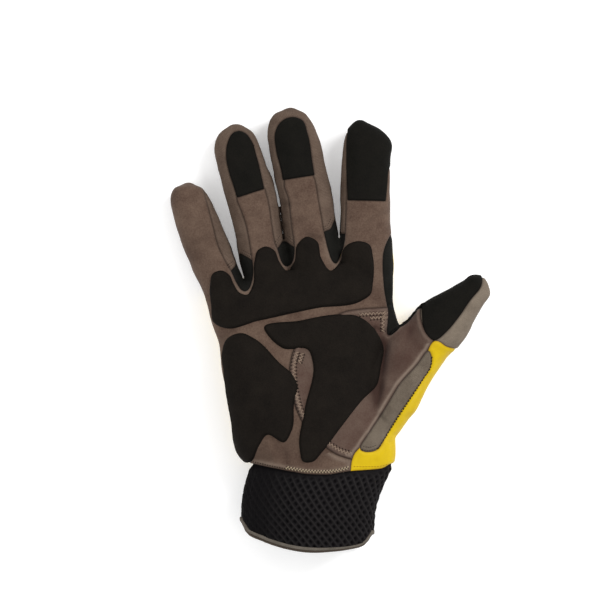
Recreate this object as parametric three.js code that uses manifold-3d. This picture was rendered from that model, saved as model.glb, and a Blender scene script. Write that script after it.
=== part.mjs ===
// Rope access glove for the right hand, lying on its back with the palm up.
// Millimetres. +X towards the thumb, +Y towards the fingertips, +Z out of the palm.
// The glove is a hollow skin: every cloth piece is cut out of one thin wall.
import * as THREE from 'three';
import { mergeVertices } from 'three/addons/utils/BufferGeometryUtils.js';
import Module from 'manifold-3d';

const wasm = await Module();
wasm.setup();

// Driving sizes
const FABRIC = 1.4;
const PAD = 2.2;
const TIP_PATCH_RISE = 0.5;
const GAP = 0.3;
const BINDING_WIDTH = 2.8;
const BINDING_RISE = 0.4;

// Seam round the edge of the hand: its height, and where and how fast it climbs along the thumb
const EDGE_SEAM_HEIGHT = 8.5;
const THUMB_SEAM_START = 30;
const THUMB_SEAM_SLOPE = 0.16;
const PAD_EDGE_ABOVE_SEAM = 6;
const SIDE_WALL_TUCK = 5;

// Section shape: powers of the superellipse above and below its widest line, and sides
const ROUNDNESS_ABOVE = 2.3;
const ROUNDNESS_BELOW = 3;
const DIGIT_SIDES = 12;
const TRUNK_SIDES = 22;

// Cutters reach well past the glove, smooth outlines take two steps between points,
// and a mitre at a sharp corner is kept short
const REACH = 160;
const TALL = 60;
const SPLINE_STEPS = 2;
const SHORTEST_LEAN = 0.5;
const WELD = 1e-4;

// Colours of the cloths
const SUEDE = 0x6b5a50;
const GREY_CLOTH = 0x6e665e;
const BLACK_PAD = 0x211e1b;
const BLACK_STRETCH = 0x25221f;
const BLACK_MESH = 0x1e1d1e;
const YELLOW_CLOTH = 0xe3c22a;
const GREY_TAPE = 0x58534c;

// Cross-sections of each digit from its root to its tip.
// Columns: left x, left y, right x, right y, underside z, top z
const PINKY = [
  [-67, 6.5, -45.5, 15, -1, 22],
  [-71.5, 20.5, -49.5, 29.5, -1, 21],
  [-78, 35.5, -55.5, 44.5, -0.8, 20],
  [-88, 62.5, -65.5, 69.5, 0, 18.5],
  [-89.5, 71, -69.5, 76.5, 1, 18.5],
  [-88, 77.5, -74, 80, 3, 17.5],
  [-84.5, 81.3, -78, 81.8, 5.5, 15],
];
const RING = [
  [-45.5, 16.5, -18.5, 23, -1, 23],
  [-49.5, 30.5, -23.5, 36.5, -1, 22],
  [-54, 53.5, -28, 59, -0.7, 21],
  [-57.5, 67, -29.5, 73, -0.3, 20.5],
  [-61, 80.5, -33, 85, 0, 20.5],
  [-64, 92.5, -38, 97, 0.8, 20.5],
  [-65.5, 101, -41.5, 106, 1.8, 20.5],
  [-64.5, 107, -45.5, 111.5, 3.5, 19.5],
  [-60, 113, -48.5, 114.8, 6, 16.5],
];
const MIDDLE = [
  [-22, 22, 8.5, 27.5, -1, 24],
  [-24, 38, 6, 43.5, -1, 23],
  [-27, 63.5, 2, 69, -0.7, 22],
  [-28.5, 72.5, 0.5, 77.5, -0.2, 21.5],
  [-32, 86.5, -3, 91.5, 0.2, 21.5],
  [-34.5, 99, -5.5, 103.5, 0.8, 21.5],
  [-36, 109.5, -8, 111, 1.8, 21.5],
  [-35, 116.5, -11.5, 118, 3.5, 20],
  [-29.5, 123.3, -17, 123.8, 6, 17],
];
const INDEX = [
  [8, 16.5, 33.5, 16.5, -1, 24],
  [5.5, 38, 34.5, 38, -1, 23],
  [4.5, 53, 33.5, 53, -1, 22],
  [5.5, 83.5, 32.5, 83.5, 0, 21],
  [6, 97.5, 33, 97.5, 0.8, 21],
  [7, 106, 33, 105.5, 1.8, 20.5],
  [9.5, 112.5, 28.5, 111.5, 3.5, 19],
  [13, 115.5, 21.5, 115.5, 6, 16.5],
];
const THUMB = [
  [6, -50, 33.5, -64, 2, 27],
  [10, -32, 42.5, -50.5, -1, 31],
  [23, -12.5, 47.5, -44.5, 0, 32],
  [34, -1, 56, -28.5, 2, 31],
  [44, 6, 64.5, -15.5, 4, 31],
  [54.5, 16, 73, -7.5, 6, 31.5],
  [66.5, 22, 80, 5, 8, 30],
  [75, 26.5, 85.5, 15, 10, 28.5],
  [80, 29.5, 89, 21.5, 12, 27],
  [83.5, 29.5, 88.5, 25.5, 15, 24],
];

// Cross-sections of the wrist and the hand from the cuff's mouth to the knuckles.
// Columns: left x, left y, right x, right y, underside z, top z
const TRUNK = [
  [-47, -135, 22, -135, -1, 35],
  [-49.5, -112.5, 24, -112.5, -1, 36],
  [-50.5, -102, 25, -102, -1, 36.5],
  [-48, -85.5, 30, -85.5, -1, 35],
  [-45.5, -77.5, 33.5, -77.5, -1, 34],
  [-50, -70.5, 35.5, -70.5, -1, 34.5],
  [-54, -62, 35.5, -62, -1, 35.5],
  [-57, -50.5, 33, -50.5, -1, 36.5],
  [-59.5, -36.5, 32, -36.5, -1, 36.5],
  [-61.5, -22.5, 32, -22.5, -1, 35],
  [-62.5, -8.5, 36, -8.5, -1, 33],
  [-66.5, 2.5, 37, 3, -1, 31],
  [-69.5, 13.5, 34, 15, -1, 29],
  [-71, 20.5, 34.5, 30.5, -1, 26.5],
  [-69.5, 24.5, 34, 39, 1, 22],
];

// Hollows in the palm. Columns: x, y, radius, depth
const PALM_HOLLOWS = [
  [-19, -20, 20, 4],
  [-22, -52, 14, 2.5],
  [-30, 2, 16, 1.5],
];

// Edges of the cloth pieces as seen from above. Columns: x, y
const HEM_LINE = [
  [-REACH, -74.5], [-45, -75], [-34, -77.5], [-14.5, -81], [-2, -81.3],
  [11, -78.7], [29.5, -78.5], [33.5, -75.5], [REACH, -73],
];
const MOUTH_LINE = [
  [-REACH, -70], [-50.5, -107], [-46.5, -114.5], [-38.5, -118.5], [-27, -122],
  [-13, -124.5], [0, -124.5], [11, -123], [18, -121], [23, -115], [REACH, -80],
];
const KNUCKLE_LINE = [
  [-REACH, 16], [-70, 19], [-49, 28], [-26, 47], [3.8, 50], [36, 45], [REACH, 45],
];
const PALM_OUTLINE = [
  [-REACH, -76], [14, -REACH], [20, -30], [27, -5], [31, 8], [37, 22], [40, 60], [40, 112],
  [28, 125], [14, 125], [10, 112], [8.5, 90], [8.3, 72], [8, 64], [7.5, 50],
  [5, 39], [3, 36.5], [0.5, 38.5], [-1.5, 44.5], [-4, 55],
  [-5.5, 64], [-7.5, 75.5], [-9.5, 89], [-21, 108], [-27.5, 92],
  [-27, 81], [-25, 76.5], [-23.5, 71], [-23, 64], [-22, 55.5], [-20.5, 46],
  [-21.5, 39.5], [-24.5, 35.5], [-27.5, 40], [-29.5, 45.5],
  [-31.3, 48], [-33, 58.5], [-34.5, 69.5], [-37.5, 82], [-48, 102], [-54, 85],
  [-53.5, 72.5], [-51, 68], [-48, 60], [-46, 50], [-45, 39],
  [-44, 30], [-45.5, 24.5], [-48.5, 22], [-52, 25.5], [-56, 33.5],
  [-59, 38], [-63.5, 47], [-69, 70], [-71.5, 78], [-72, 92], [-110, 92], [-110, 20],
];
const THUMB_PANEL_OUTLINE = [
  [11, -REACH], [11, -78.7], [2, -72], [-6, -66], [-15.5, -48], [-19.6, -38.4], [-23.5, -22.7],
  [-21.3, -11.5], [-12, 0], [7.8, 10.4], [20, 11.8], [36, 12.6], [36, 4], [42, 14],
  [60, 30], [62, 0], [57, -6.5], [54.5, -10.5], [45, -35], [25, -68], [14, -72],
];
const YELLOW_OUTLINE = [
  [11, -REACH], [11, -78.7], [11.5, -74], [12.6, -70], [15, -67], [40, -45], [53, -20],
  [54.5, -10.5], [57, -6.5], [60.5, -6.5], [64.5, -10], [69.5, -11], [110, -20], [60, -REACH],
];
const SIDE_STRIP_OUTLINE = [
  [54.5, -10.5], [48, -20], [38.5, -30], [27.5, -48.5], [15, -67], [20.5, -69], [26.5, -67.5],
  [37.5, -48.5], [56, -21.5], [56.8, -16],
];
const THUMB_TIP_OUTLINE = [
  [50, 60], [50, 34], [50.5, 14], [49.5, 8], [52, -1], [57, -6.5], [60.5, -6.5], [64.5, -10], [69.5, -11],
  [110, -20], [110, 60],
];
const SADDLE_OUTLINE = [
  [34, 54], [29.5, 44.5], [29, 36], [30, 22], [32, 8], [32, -2], [38.5, 0.5], [42, 12], [45, 56],
];
const THUMB_CAP_OUTLINE = [
  [83, 40], [50, 34], [50.5, 14], [49.5, 8], [52, -1], [57, -6.5], [68, 3.5], [82.5, 17], [85.5, 25.5],
];

// Black stretch cloth in the forks between the fingers. Columns: x, y
const WEB_OUTLINES = {
  web_pinky_ring: [
    [-56.3, 33], [-52.5, 37], [-51, 42], [-44, 39.2], [-42, 30], [-43.5, 20], [-54, 20],
  ],
  web_ring_middle: [
    [-30.5, 45], [-26.2, 50.3], [-19.5, 45], [-20, 36], [-24.5, 33], [-29, 38],
  ],
  web_middle_index: [
    [-5, 54.3], [0.2, 56.3], [2.6, 61.5], [4.2, 56], [5, 53.7], [9, 53.5], [8, 40], [3, 34], [-2, 38],
  ],
};

// Lines in the gaps between the fingers. Columns: x, y
const PINKY_RING_SPLIT = [[-49, 10], [-49, 29], [-52, 38.5], [-58.5, 59], [-68, 80], [-80, REACH]];
const RING_MIDDLE_SPLIT = [[-24, 10], [-26.2, 49], [-27.7, 60], [-29, 72.5], [-33, 86], [-39, 106], [-46, REACH]];
const MIDDLE_INDEX_SPLIT = [[4.9, 10], [4.9, 52], [4.4, 59], [3, 72.5], [1, 92], [-2, REACH]];

// Rims of the raised pads and the fingertip patches. Columns: x, y
const KNUCKLE_PAD = [
  [-67.8, 25.5], [-66.3, 31.3], [-61, 33], [-57, 30.5], [-54.5, 25.5], [-51, 20.5], [-47, 19.5],
  [-44, 24.5], [-43, 38], [-41, 44.5], [-36.5, 46.5], [-32, 44.5], [-29, 38], [-24.5, 32.5],
  [-20.5, 38], [-19, 47.5], [-13.5, 52], [-8, 49.5], [-5.5, 40], [0, 33], [5, 38], [8.5, 47],
  [15, 49.5], [21.5, 47.5], [23.5, 40.5], [23.5, 26.5], [22, 19.5], [17, 16], [-7.5, 12],
  [-40, 5], [-60.5, 1], [-64.5, 2.8], [-67, 13.5],
];
const THENAR_PAD = [
  [-37.5, 0.5], [-17.5, 5], [5, 8.5], [13.5, 8], [19.5, 5], [26.5, -3], [29.5, -10], [28, -21.5],
  [26, -30.5], [17.5, -39.5], [5, -55.5], [-5, -68.5], [-10.5, -74], [-15.5, -74], [-17.5, -67.5],
  [-15, -45], [-10.5, -18], [-12.5, -12], [-27, -10.5], [-33, -6],
];
const HEEL_PAD = [
  [-60.6, -12.5], [-57.5, -5], [-50, -2], [-43, -5], [-28.5, -19], [-20.5, -26.5], [-18.5, -32],
  [-20.5, -40], [-22, -56.5], [-26, -63], [-36, -59], [-40, -64.5], [-44.5, -72.5], [-48, -68.5],
  [-53.5, -55], [-58.5, -29.5],
];
const RING_TIP = [[-54, 74], [-37, 78.5], [-41, 95], [-46, 108], [-51, 111.5], [-57, 107], [-59, 99]];
const MIDDLE_TIP = [[-28, 83.5], [-9, 86.5], [-12, 102], [-16, 116], [-23, 118.5], [-29.5, 114], [-31, 106]];
const INDEX_TIP = [
  [8.5, 72.5], [30.5, 72], [33, 88], [34.5, 105], [29, 114], [20, 119], [12, 118.5], [9, 110],
];

// Solids and their geometries
function solidFrom(geometry) {
  const bare = geometry.clone();
  bare.deleteAttribute('normal');
  bare.deleteAttribute('uv');
  const merged = mergeVertices(bare, WELD);
  const vertProperties = new Float32Array(merged.attributes.position.array);
  const triVerts = new Uint32Array(merged.index.array);
  return new wasm.Manifold(new wasm.Mesh({ numProp: 3, vertProperties, triVerts }));
}

function geometryFrom(solid) {
  const mesh = solid.getMesh();
  const geometry = new THREE.BufferGeometry();
  geometry.setAttribute('position', new THREE.BufferAttribute(new Float32Array(mesh.vertProperties), 3));
  geometry.setIndex(new THREE.BufferAttribute(new Uint32Array(mesh.triVerts), 1));
  geometry.computeVertexNormals();
  return geometry;
}

// Depth of the palm's hollows below a plain rounded palm
function hollowDepth(x, y) {
  let depth = 0;
  for (const [centreX, centreY, radius, deep] of PALM_HOLLOWS) {
    const far = ((x - centreX) ** 2 + (y - centreY) ** 2) / radius ** 2;
    depth += deep * Math.exp(-far);
  }
  return depth;
}

// One closed loft through superellipse sections, made larger or smaller all round by the offset
function loft(rows, sides, offset) {
  const positions = [];
  const faces = [];
  const last = rows.length - 1;
  rows.forEach(([leftX, leftY, rightX, rightY, low, high], step) => {
    const across = new THREE.Vector2(rightX - leftX, rightY - leftY);
    const halfWidth = across.length() / 2 + offset;
    across.normalize();
    const endShift = step === 0 || step === last ? offset : 0;
    const centreX = (leftX + rightX) / 2 - across.y * endShift;
    const centreY = (leftY + rightY) / 2 + across.x * endShift;
    const centreZ = (low + high) / 2;
    const halfHeight = (high - low) / 2 + offset;
    for (let side = 0; side < sides; side += 1) {
      const angle = (2 * Math.PI * side) / sides;
      const power = 2 / (side * 2 < sides ? ROUNDNESS_ABOVE : ROUNDNESS_BELOW);
      const bulgeAcross = Math.sign(Math.cos(angle)) * Math.abs(Math.cos(angle)) ** power;
      const bulgeUp = Math.sign(Math.sin(angle)) * Math.abs(Math.sin(angle)) ** power;
      const x = centreX + across.x * halfWidth * bulgeAcross;
      const y = centreY + across.y * halfWidth * bulgeAcross;
      const sink = hollowDepth(x, y) * Math.max(0, bulgeUp);
      positions.push(x, y, centreZ + halfHeight * bulgeUp - sink);
    }
  });
  for (let step = 0; step < last; step += 1) {
    for (let side = 0; side < sides; side += 1) {
      const next = (side + 1) % sides;
      const a = step * sides + side;
      const b = step * sides + next;
      faces.push(a, a + sides, b, b, a + sides, b + sides);
    }
  }
  for (let side = 1; side < sides - 1; side += 1) {
    faces.push(0, side, side + 1);
    const end = last * sides;
    faces.push(end, end + side + 1, end + side);
  }
  const geometry = new THREE.BufferGeometry();
  geometry.setAttribute('position', new THREE.BufferAttribute(new Float32Array(positions), 3));
  geometry.setIndex(faces);
  return solidFrom(geometry);
}

// A closed outline pushed outwards by a distance at every corner
function grow(outline, distance) {
  const turn = THREE.ShapeUtils.area(outline.map(([x, y]) => new THREE.Vector2(x, y))) > 0 ? 1 : -1;
  return outline.map(([x, y], place) => {
    const [beforeX, beforeY] = outline.at(place - 1);
    const [afterX, afterY] = outline[(place + 1) % outline.length];
    const first = new THREE.Vector2(y - beforeY, beforeX - x).normalize();
    const second = new THREE.Vector2(afterY - y, x - afterX).normalize();
    const outward = first.add(second).normalize();
    const lean = Math.max(SHORTEST_LEAN, outward.dot(second));
    return [x + (turn * distance * outward.x) / lean, y + (turn * distance * outward.y) / lean];
  });
}

// Upright prism over an outline
function prism(outline) {
  const shape = new THREE.Shape(outline.map(([x, y]) => new THREE.Vector2(x, y)));
  const geometry = new THREE.ExtrudeGeometry(shape, { depth: 2 * TALL, bevelEnabled: false });
  geometry.translate(0, 0, -TALL);
  return solidFrom(geometry);
}

// Smooth closed outline through hand-placed points
function smooth(points) {
  const curve = new THREE.CatmullRomCurve3(points.map(([x, y]) => new THREE.Vector3(x, y, 0)), true);
  const places = curve.getPoints(points.length * SPLINE_STEPS).slice(0, -1);
  return places.map((point) => [point.x, point.y]);
}

// Everything on the wrist side of a line that runs from left to right, shifted along Y
function below(line, shift = 0) {
  const moved = line.map(([x, y]) => [x, y + shift]);
  return prism([...moved, [REACH, -2 * REACH], [-REACH, -2 * REACH]]);
}

// Everything on the thumb side of a line that runs from the wrist to the fingertips
function rightOf(line, shift = 0) {
  const moved = line.map(([x, y]) => [x + shift, y]);
  return prism([...moved, [2 * REACH, REACH], [2 * REACH, moved[0][1]]]);
}

// Everything above the seam that runs round the edge of the hand and climbs along the thumb
function aboveSeam(shift) {
  const start = EDGE_SEAM_HEIGHT + shift;
  const end = start + THUMB_SEAM_SLOPE * (REACH - THUMB_SEAM_START);
  const profile = [[-REACH, start], [THUMB_SEAM_START, start], [REACH, end], [REACH, REACH], [-REACH, REACH]];
  const shape = new THREE.Shape(profile.map(([x, z]) => new THREE.Vector2(x, z)));
  const geometry = new THREE.ExtrudeGeometry(shape, { depth: 2 * REACH, bevelEnabled: false });
  geometry.rotateX(Math.PI / 2);
  geometry.translate(0, REACH, 0);
  return solidFrom(geometry);
}

// The space inside a surface that lies the offset outside the glove's own surface, cut off flat at the floor
function form(offset, floor = -offset) {
  let solid = loft(TRUNK, TRUNK_SIDES, offset);
  for (const digit of [PINKY, RING, MIDDLE, INDEX, THUMB]) {
    solid = solid.add(loft(digit, DIGIT_SIDES, offset));
  }
  const slab = new THREE.BoxGeometry(2 * REACH, 2 * REACH, TALL);
  slab.translate(0, 0, TALL / 2 + floor);
  return solid.intersect(solidFrom(slab));
}

function union(solids) {
  return solids.reduce((whole, solid) => whole.add(solid));
}

const outer = form(0);
const wall = outer.subtract(form(-FABRIC));
const handWall = wall.subtract(below(HEM_LINE));
const palmSide = handWall.intersect(aboveSeam(GAP / 2));
const backSide = handWall.subtract(aboveSeam(-GAP / 2));
const digitSide = backSide.subtract(below(KNUCKLE_LINE, GAP / 2));

const glove = new THREE.Group();

function place(name, solid, colour, roughness) {
  const material = new THREE.MeshStandardMaterial({ color: colour, roughness, metalness: 0 });
  const mesh = new THREE.Mesh(geometryFrom(solid), material);
  mesh.name = name;
  glove.add(mesh);
}

// Fingertip patches stand a little proud of the cloth round them
const patchWall = form(TIP_PATCH_RISE).subtract(form(-FABRIC)).intersect(aboveSeam(GAP / 2));
const tipOutlines = {
  ring_tip_pad: smooth(RING_TIP),
  middle_tip_pad: smooth(MIDDLE_TIP),
  index_tip_pad: smooth(INDEX_TIP),
};
const tipCutters = Object.values(tipOutlines).map((outline) => prism(grow(outline, GAP)));
for (const [name, outline] of Object.entries(tipOutlines)) {
  place(name, patchWall.intersect(prism(outline)), BLACK_PAD, 0.8);
}
const capCutter = prism(grow(THUMB_CAP_OUTLINE, GAP));
place('thumb_cap', patchWall.intersect(prism(THUMB_CAP_OUTLINE)), BLACK_PAD, 0.8);

// Raised pads lie on the palm
const padLayer = form(GAP + PAD).subtract(form(GAP)).intersect(aboveSeam(PAD_EDGE_ABOVE_SEAM));
place('knuckle_pad', padLayer.intersect(prism(KNUCKLE_PAD)), BLACK_PAD, 0.8);
place('thenar_pad', padLayer.intersect(prism(smooth(THENAR_PAD))), BLACK_PAD, 0.8);
place('heel_pad', padLayer.intersect(prism(smooth(HEEL_PAD))), BLACK_PAD, 0.8);

// Thumb: grey strip along its side, grey cloth behind the cap
place('thumb_side_strip', palmSide.intersect(prism(SIDE_STRIP_OUTLINE)), GREY_CLOTH, 0.9);
const stripCutter = prism(grow(SIDE_STRIP_OUTLINE, GAP)).intersect(aboveSeam(-GAP / 2));
const capGap = capCutter.intersect(aboveSeam(-GAP / 2));
place('thumb_back_tip', handWall.intersect(prism(THUMB_TIP_OUTLINE)).subtract(capGap), GREY_CLOTH, 0.9);
const thumbTipCutter = prism(grow(THUMB_TIP_OUTLINE, GAP));

// Back of the hand, with the yellow side that wraps up beside the thumb
const yellowSide = handWall.intersect(prism(YELLOW_OUTLINE));
const handBack = backSide.intersect(below(KNUCKLE_LINE, -GAP / 2));
const back = union([handBack, yellowSide]).subtract(union([stripCutter, thumbTipCutter]));
place('back_panel', back, YELLOW_CLOTH, 0.7);
const yellowCutter = prism(grow(YELLOW_OUTLINE, GAP));

// Palm pieces
place('index_saddle', palmSide.intersect(prism(SADDLE_OUTLINE)).subtract(thumbTipCutter), BLACK_STRETCH, 0.7);
const saddleCutter = prism(grow(SADDLE_OUTLINE, GAP));
const thumbCutters = union([yellowCutter, prism(grow(SIDE_STRIP_OUTLINE, GAP)), thumbTipCutter, saddleCutter]);
place('thumb_panel', palmSide.intersect(prism(THUMB_PANEL_OUTLINE)).subtract(thumbCutters), SUEDE, 0.95);
const palmCutters = union([thumbCutters, prism(grow(THUMB_PANEL_OUTLINE, GAP)), ...tipCutters]);
place('palm_panel', palmSide.intersect(prism(PALM_OUTLINE)).subtract(palmCutters), SUEDE, 0.95);

// Webs in the forks and grey side walls round the fingers
let taken = union([palmCutters, prism(grow(PALM_OUTLINE, GAP))]);
for (const [name, outline] of Object.entries(WEB_OUTLINES)) {
  place(name, palmSide.intersect(prism(outline)).subtract(taken), BLACK_STRETCH, 0.7);
}
taken = union([taken, ...Object.values(WEB_OUTLINES).map((outline) => prism(grow(outline, GAP)))]);
const sideWalls = palmSide.subtract(taken).subtract(below(KNUCKLE_LINE, -SIDE_WALL_TUCK));
const FINGER_SPLITS = {
  pinky: [null, PINKY_RING_SPLIT],
  ring: [PINKY_RING_SPLIT, RING_MIDDLE_SPLIT],
  middle: [RING_MIDDLE_SPLIT, MIDDLE_INDEX_SPLIT],
  index: [MIDDLE_INDEX_SPLIT, null],
};
function between(solid, [leftLine, rightLine]) {
  const trimmed = leftLine ? solid.intersect(rightOf(leftLine, GAP / 2)) : solid;
  return rightLine ? trimmed.subtract(rightOf(rightLine, -GAP / 2)) : trimmed;
}
for (const [finger, lines] of Object.entries(FINGER_SPLITS)) {
  place(`${finger}_side_wall`, between(sideWalls, lines), GREY_CLOTH, 0.9);
  place(`${finger}_back`, between(digitSide.subtract(thumbTipCutter), lines), GREY_CLOTH, 0.9);
}

// Knitted mesh cuff and the tape bound over its edge
const cuffWall = wall.intersect(below(HEM_LINE, -GAP));
place('cuff', cuffWall.subtract(below(MOUTH_LINE, BINDING_WIDTH + GAP)), BLACK_MESH, 0.85);
const tape = form(BINDING_RISE, 0).subtract(form(-FABRIC - BINDING_RISE));
place('cuff_binding', tape.intersect(below(MOUTH_LINE, BINDING_WIDTH)).subtract(below(MOUTH_LINE)), GREY_TAPE, 0.9);

// The origin lies under the middle of the glove
const box = new THREE.Box3().setFromObject(glove);
glove.position.set(-(box.min.x + box.max.x) / 2, -(box.min.y + box.max.y) / 2, -box.min.z);

export default glove;
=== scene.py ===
# Rope access glove for the right hand, lying on its back with the palm up.
# Tables are in millimetres, +X towards the thumb, +Y towards the fingertips, +Z out of the palm.
# Pieces are shaped in millimetres, and settle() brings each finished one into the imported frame.
import math
from contextlib import contextmanager

import bpy
import numpy as np
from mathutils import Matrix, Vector, kdtree, noise
from mathutils.bvhtree import BVHTree


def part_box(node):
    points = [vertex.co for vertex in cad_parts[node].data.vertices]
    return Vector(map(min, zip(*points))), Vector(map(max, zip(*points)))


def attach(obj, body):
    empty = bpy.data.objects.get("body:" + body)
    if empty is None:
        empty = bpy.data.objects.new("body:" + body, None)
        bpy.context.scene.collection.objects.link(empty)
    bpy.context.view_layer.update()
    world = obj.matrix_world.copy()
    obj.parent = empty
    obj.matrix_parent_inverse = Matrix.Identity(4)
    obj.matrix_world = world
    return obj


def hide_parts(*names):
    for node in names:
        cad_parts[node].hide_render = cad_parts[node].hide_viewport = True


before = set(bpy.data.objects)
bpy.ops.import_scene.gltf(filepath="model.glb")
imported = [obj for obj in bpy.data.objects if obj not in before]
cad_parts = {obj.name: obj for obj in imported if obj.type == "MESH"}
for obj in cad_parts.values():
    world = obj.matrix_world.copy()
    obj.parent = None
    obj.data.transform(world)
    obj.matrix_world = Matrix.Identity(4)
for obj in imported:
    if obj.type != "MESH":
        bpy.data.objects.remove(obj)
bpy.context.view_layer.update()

# Driving sizes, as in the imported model
MM = 0.001
FABRIC = 1.4
BINDING_WIDTH = 2.8
BINDING_RISE = 0.4
EDGE_SEAM_HEIGHT = 8.5
THUMB_SEAM_START = 30
THUMB_SEAM_SLOPE = 0.16
SIDE_WALL_TUCK = 5
ROUNDNESS_ABOVE = 2.3
ROUNDNESS_BELOW = 3
REACH = 160
TALL = 60

# Fineness of the skin, and how its corners and edges are rounded
VOXEL = 1.0
SKIN_SMOOTHING = 7
SKIN_SMOOTHING_SHARE = 0.5
FLAT_SOFTNESS = 0.5
RING_STEP = 1.5
OUTLINE_STEP = 1.2
DIGIT_SIDES = 56
TRUNK_SIDES = 96
TIP_CAP = 1.4
TIP_SHARES = (0.88, 0.7, 0.5, 0.28, 0.06)
WELD = 0.02
SLIVER = 0.12
RIM_STEP = 0.35
CORNER_SHARE = 0.48
PATCH_CORNER = 0.7
WEB_CORNER = 1.2
SHARP_ANGLE = math.radians(55)

# How the edges of the cloth are sewn, where its nap is worn light, and where a highlight is painted on its
# folded edge
SHELL = 1.2
SEAM_WIDTH = 1.7
SEAM_FINE = 0.5
SEAM_DROP = 0.5
SEAM_RIDGE = 0.12
SEAM_RIDGE_WIDTH = 0.9
SEAM_FADE = 12
UPWARD = 0.3
FOLDED_EDGE = {"middle": 1.7, "width": 0.9}
BESIDE_STRIP = (8, -8)
SEAM_WEAR_AND_HIGHLIGHT = 0.3
EVEN_WEAR = 0.35
HEM_BAND = {"middle": 1.8, "width": 1.2}
HEM_TOP = -69
HEM_WEAR = 0.6
FORK_PLACES = [(-48.4, 27), (-25, 42), (2.5, 43)]
FORK_REACH = 12
FORK_BLUR = 4
FORK_RIM = 2.5
FORK_WEAR = 0.3

# Cross-sections of each digit from its root to its tip.
# Columns: left x, left y, right x, right y, underside z, top z
PINKY = [
    (-67, 6.5, -45.5, 15, -1, 22), (-71.7, 20.5, -49.5, 29.5, -1, 21),
    (-78.7, 35.5, -55.4, 44.5, -0.8, 20), (-88.1, 62.5, -65.1, 67.5, 0, 18.5),
    (-90, 71.3, -68, 73.1, 1, 18.5), (-89.2, 76.8, -70.8, 77.6, 2.5, 18),
    (-86.4, 80.4, -73.8, 80.4, 4.5, 16.5), (-83.5, 81.3, -76.5, 81.2, 7, 14),
]
RING = [
    (-45.5, 16.5, -18.5, 23, -1, 23), (-49.5, 30.5, -23.5, 36.5, -1, 22),
    (-54, 53.5, -28, 59, -0.7, 21), (-57.5, 67, -29.5, 73, -0.3, 20.5),
    (-61, 80.5, -33, 85, 0, 20.5), (-64, 92.5, -38, 97, 0.8, 20.5),
    (-65.8, 101, -40.4, 104.5, 1.8, 20.5), (-64.8, 106.4, -42.5, 109, 2.8, 20),
    (-62.3, 111.2, -46, 112.7, 4.2, 18.5), (-58.4, 113.9, -49.6, 114.6, 6.5, 16),
]
MIDDLE = [
    (-22, 22, 8.5, 27.5, -1, 24), (-24, 38, 6, 43.5, -1, 23),
    (-27, 63.5, 2, 69, -0.7, 22), (-28.5, 72.5, 0.5, 77.5, -0.2, 21.5),
    (-32, 86.5, -3, 91.5, 0.2, 21.5), (-34.5, 99, -5.5, 103.5, 0.8, 21.5),
    (-36.1, 109.5, -7.8, 110.6, 1.8, 21.5), (-35.8, 113.4, -9.3, 114.6, 2.4, 21),
    (-34.3, 118, -12.1, 118.8, 3.6, 20), (-31, 121.8, -15.6, 122.2, 5, 18.5),
    (-27, 123.4, -19, 123.7, 7.5, 16),
]
INDEX = [
    (8, 16.5, 34.3, 16.5, -1, 24), (5.5, 38, 35.2, 38, -1, 23),
    (4.5, 53, 33.9, 53, -1, 22), (5.5, 83.5, 32.9, 83.5, 0, 21),
    (5.9, 97.5, 33.2, 97.5, 0.8, 21), (7, 106.2, 33.4, 105.6, 1.6, 20.5),
    (8.7, 110.4, 30, 109.9, 2.6, 20), (10.9, 113.8, 25.4, 113.3, 4, 18.5),
    (13.4, 116.3, 20, 116.1, 6.5, 16.5),
]
THUMB = [
    (6, -50, 33.5, -64, 2, 27), (10, -32, 43, -51, -1, 31),
    (23, -12.5, 48, -45, 0, 32), (34, -1, 56.4, -29, 2, 31),
    (44, 5.8, 64.8, -15.9, 4, 31), (54.3, 16.3, 73.3, -7.8, 6, 31.5),
    (66.2, 22.6, 80.4, 4.8, 8, 30), (74.6, 27.3, 86, 14.8, 10, 28.5),
    (79, 30.3, 89.3, 21, 12, 27), (81.8, 30.5, 88.5, 24.6, 15, 24),
]

# Cross-sections of the wrist and the hand, from the cuff's mouth to the knuckles
TRUNK = [
    (-47, -135, 22, -135, -1, 35), (-49.8, -112.5, 24.1, -112.5, -1, 36),
    (-50.5, -102, 25, -102, -1, 36.5), (-48.4, -86.5, 30, -85.5, -1, 35),
    (-45.9, -78.5, 34, -77.5, -1, 34), (-45.1, -75, 35.6, -74, -1, 34.2),
    (-49.5, -70.5, 36.3, -69, -1, 34.7), (-53.2, -62, 36.1, -61.5, -1, 35.5),
    (-56, -50.5, 33, -50.5, -1, 36.5),
    (-58.5, -36.5, 32, -36.5, -1, 36.5), (-61.2, -22.5, 32, -22.5, -1, 35),
    (-62.7, -8.5, 36, -8.5, -1, 33), (-66.5, 2.5, 37.5, 3, -1, 31),
    (-69.5, 13.5, 34.8, 15, -1, 29), (-71, 20.5, 35.2, 30.5, -1, 26.5),
    (-69.5, 24.5, 34, 39, 1, 22),
]

# Hollows in the palm. Columns: x, y, radius, depth
PALM_HOLLOWS = [(-19, -20, 20, 4), (-22, -52, 14, 2.5), (-30, 2, 16, 1.5)]

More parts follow.
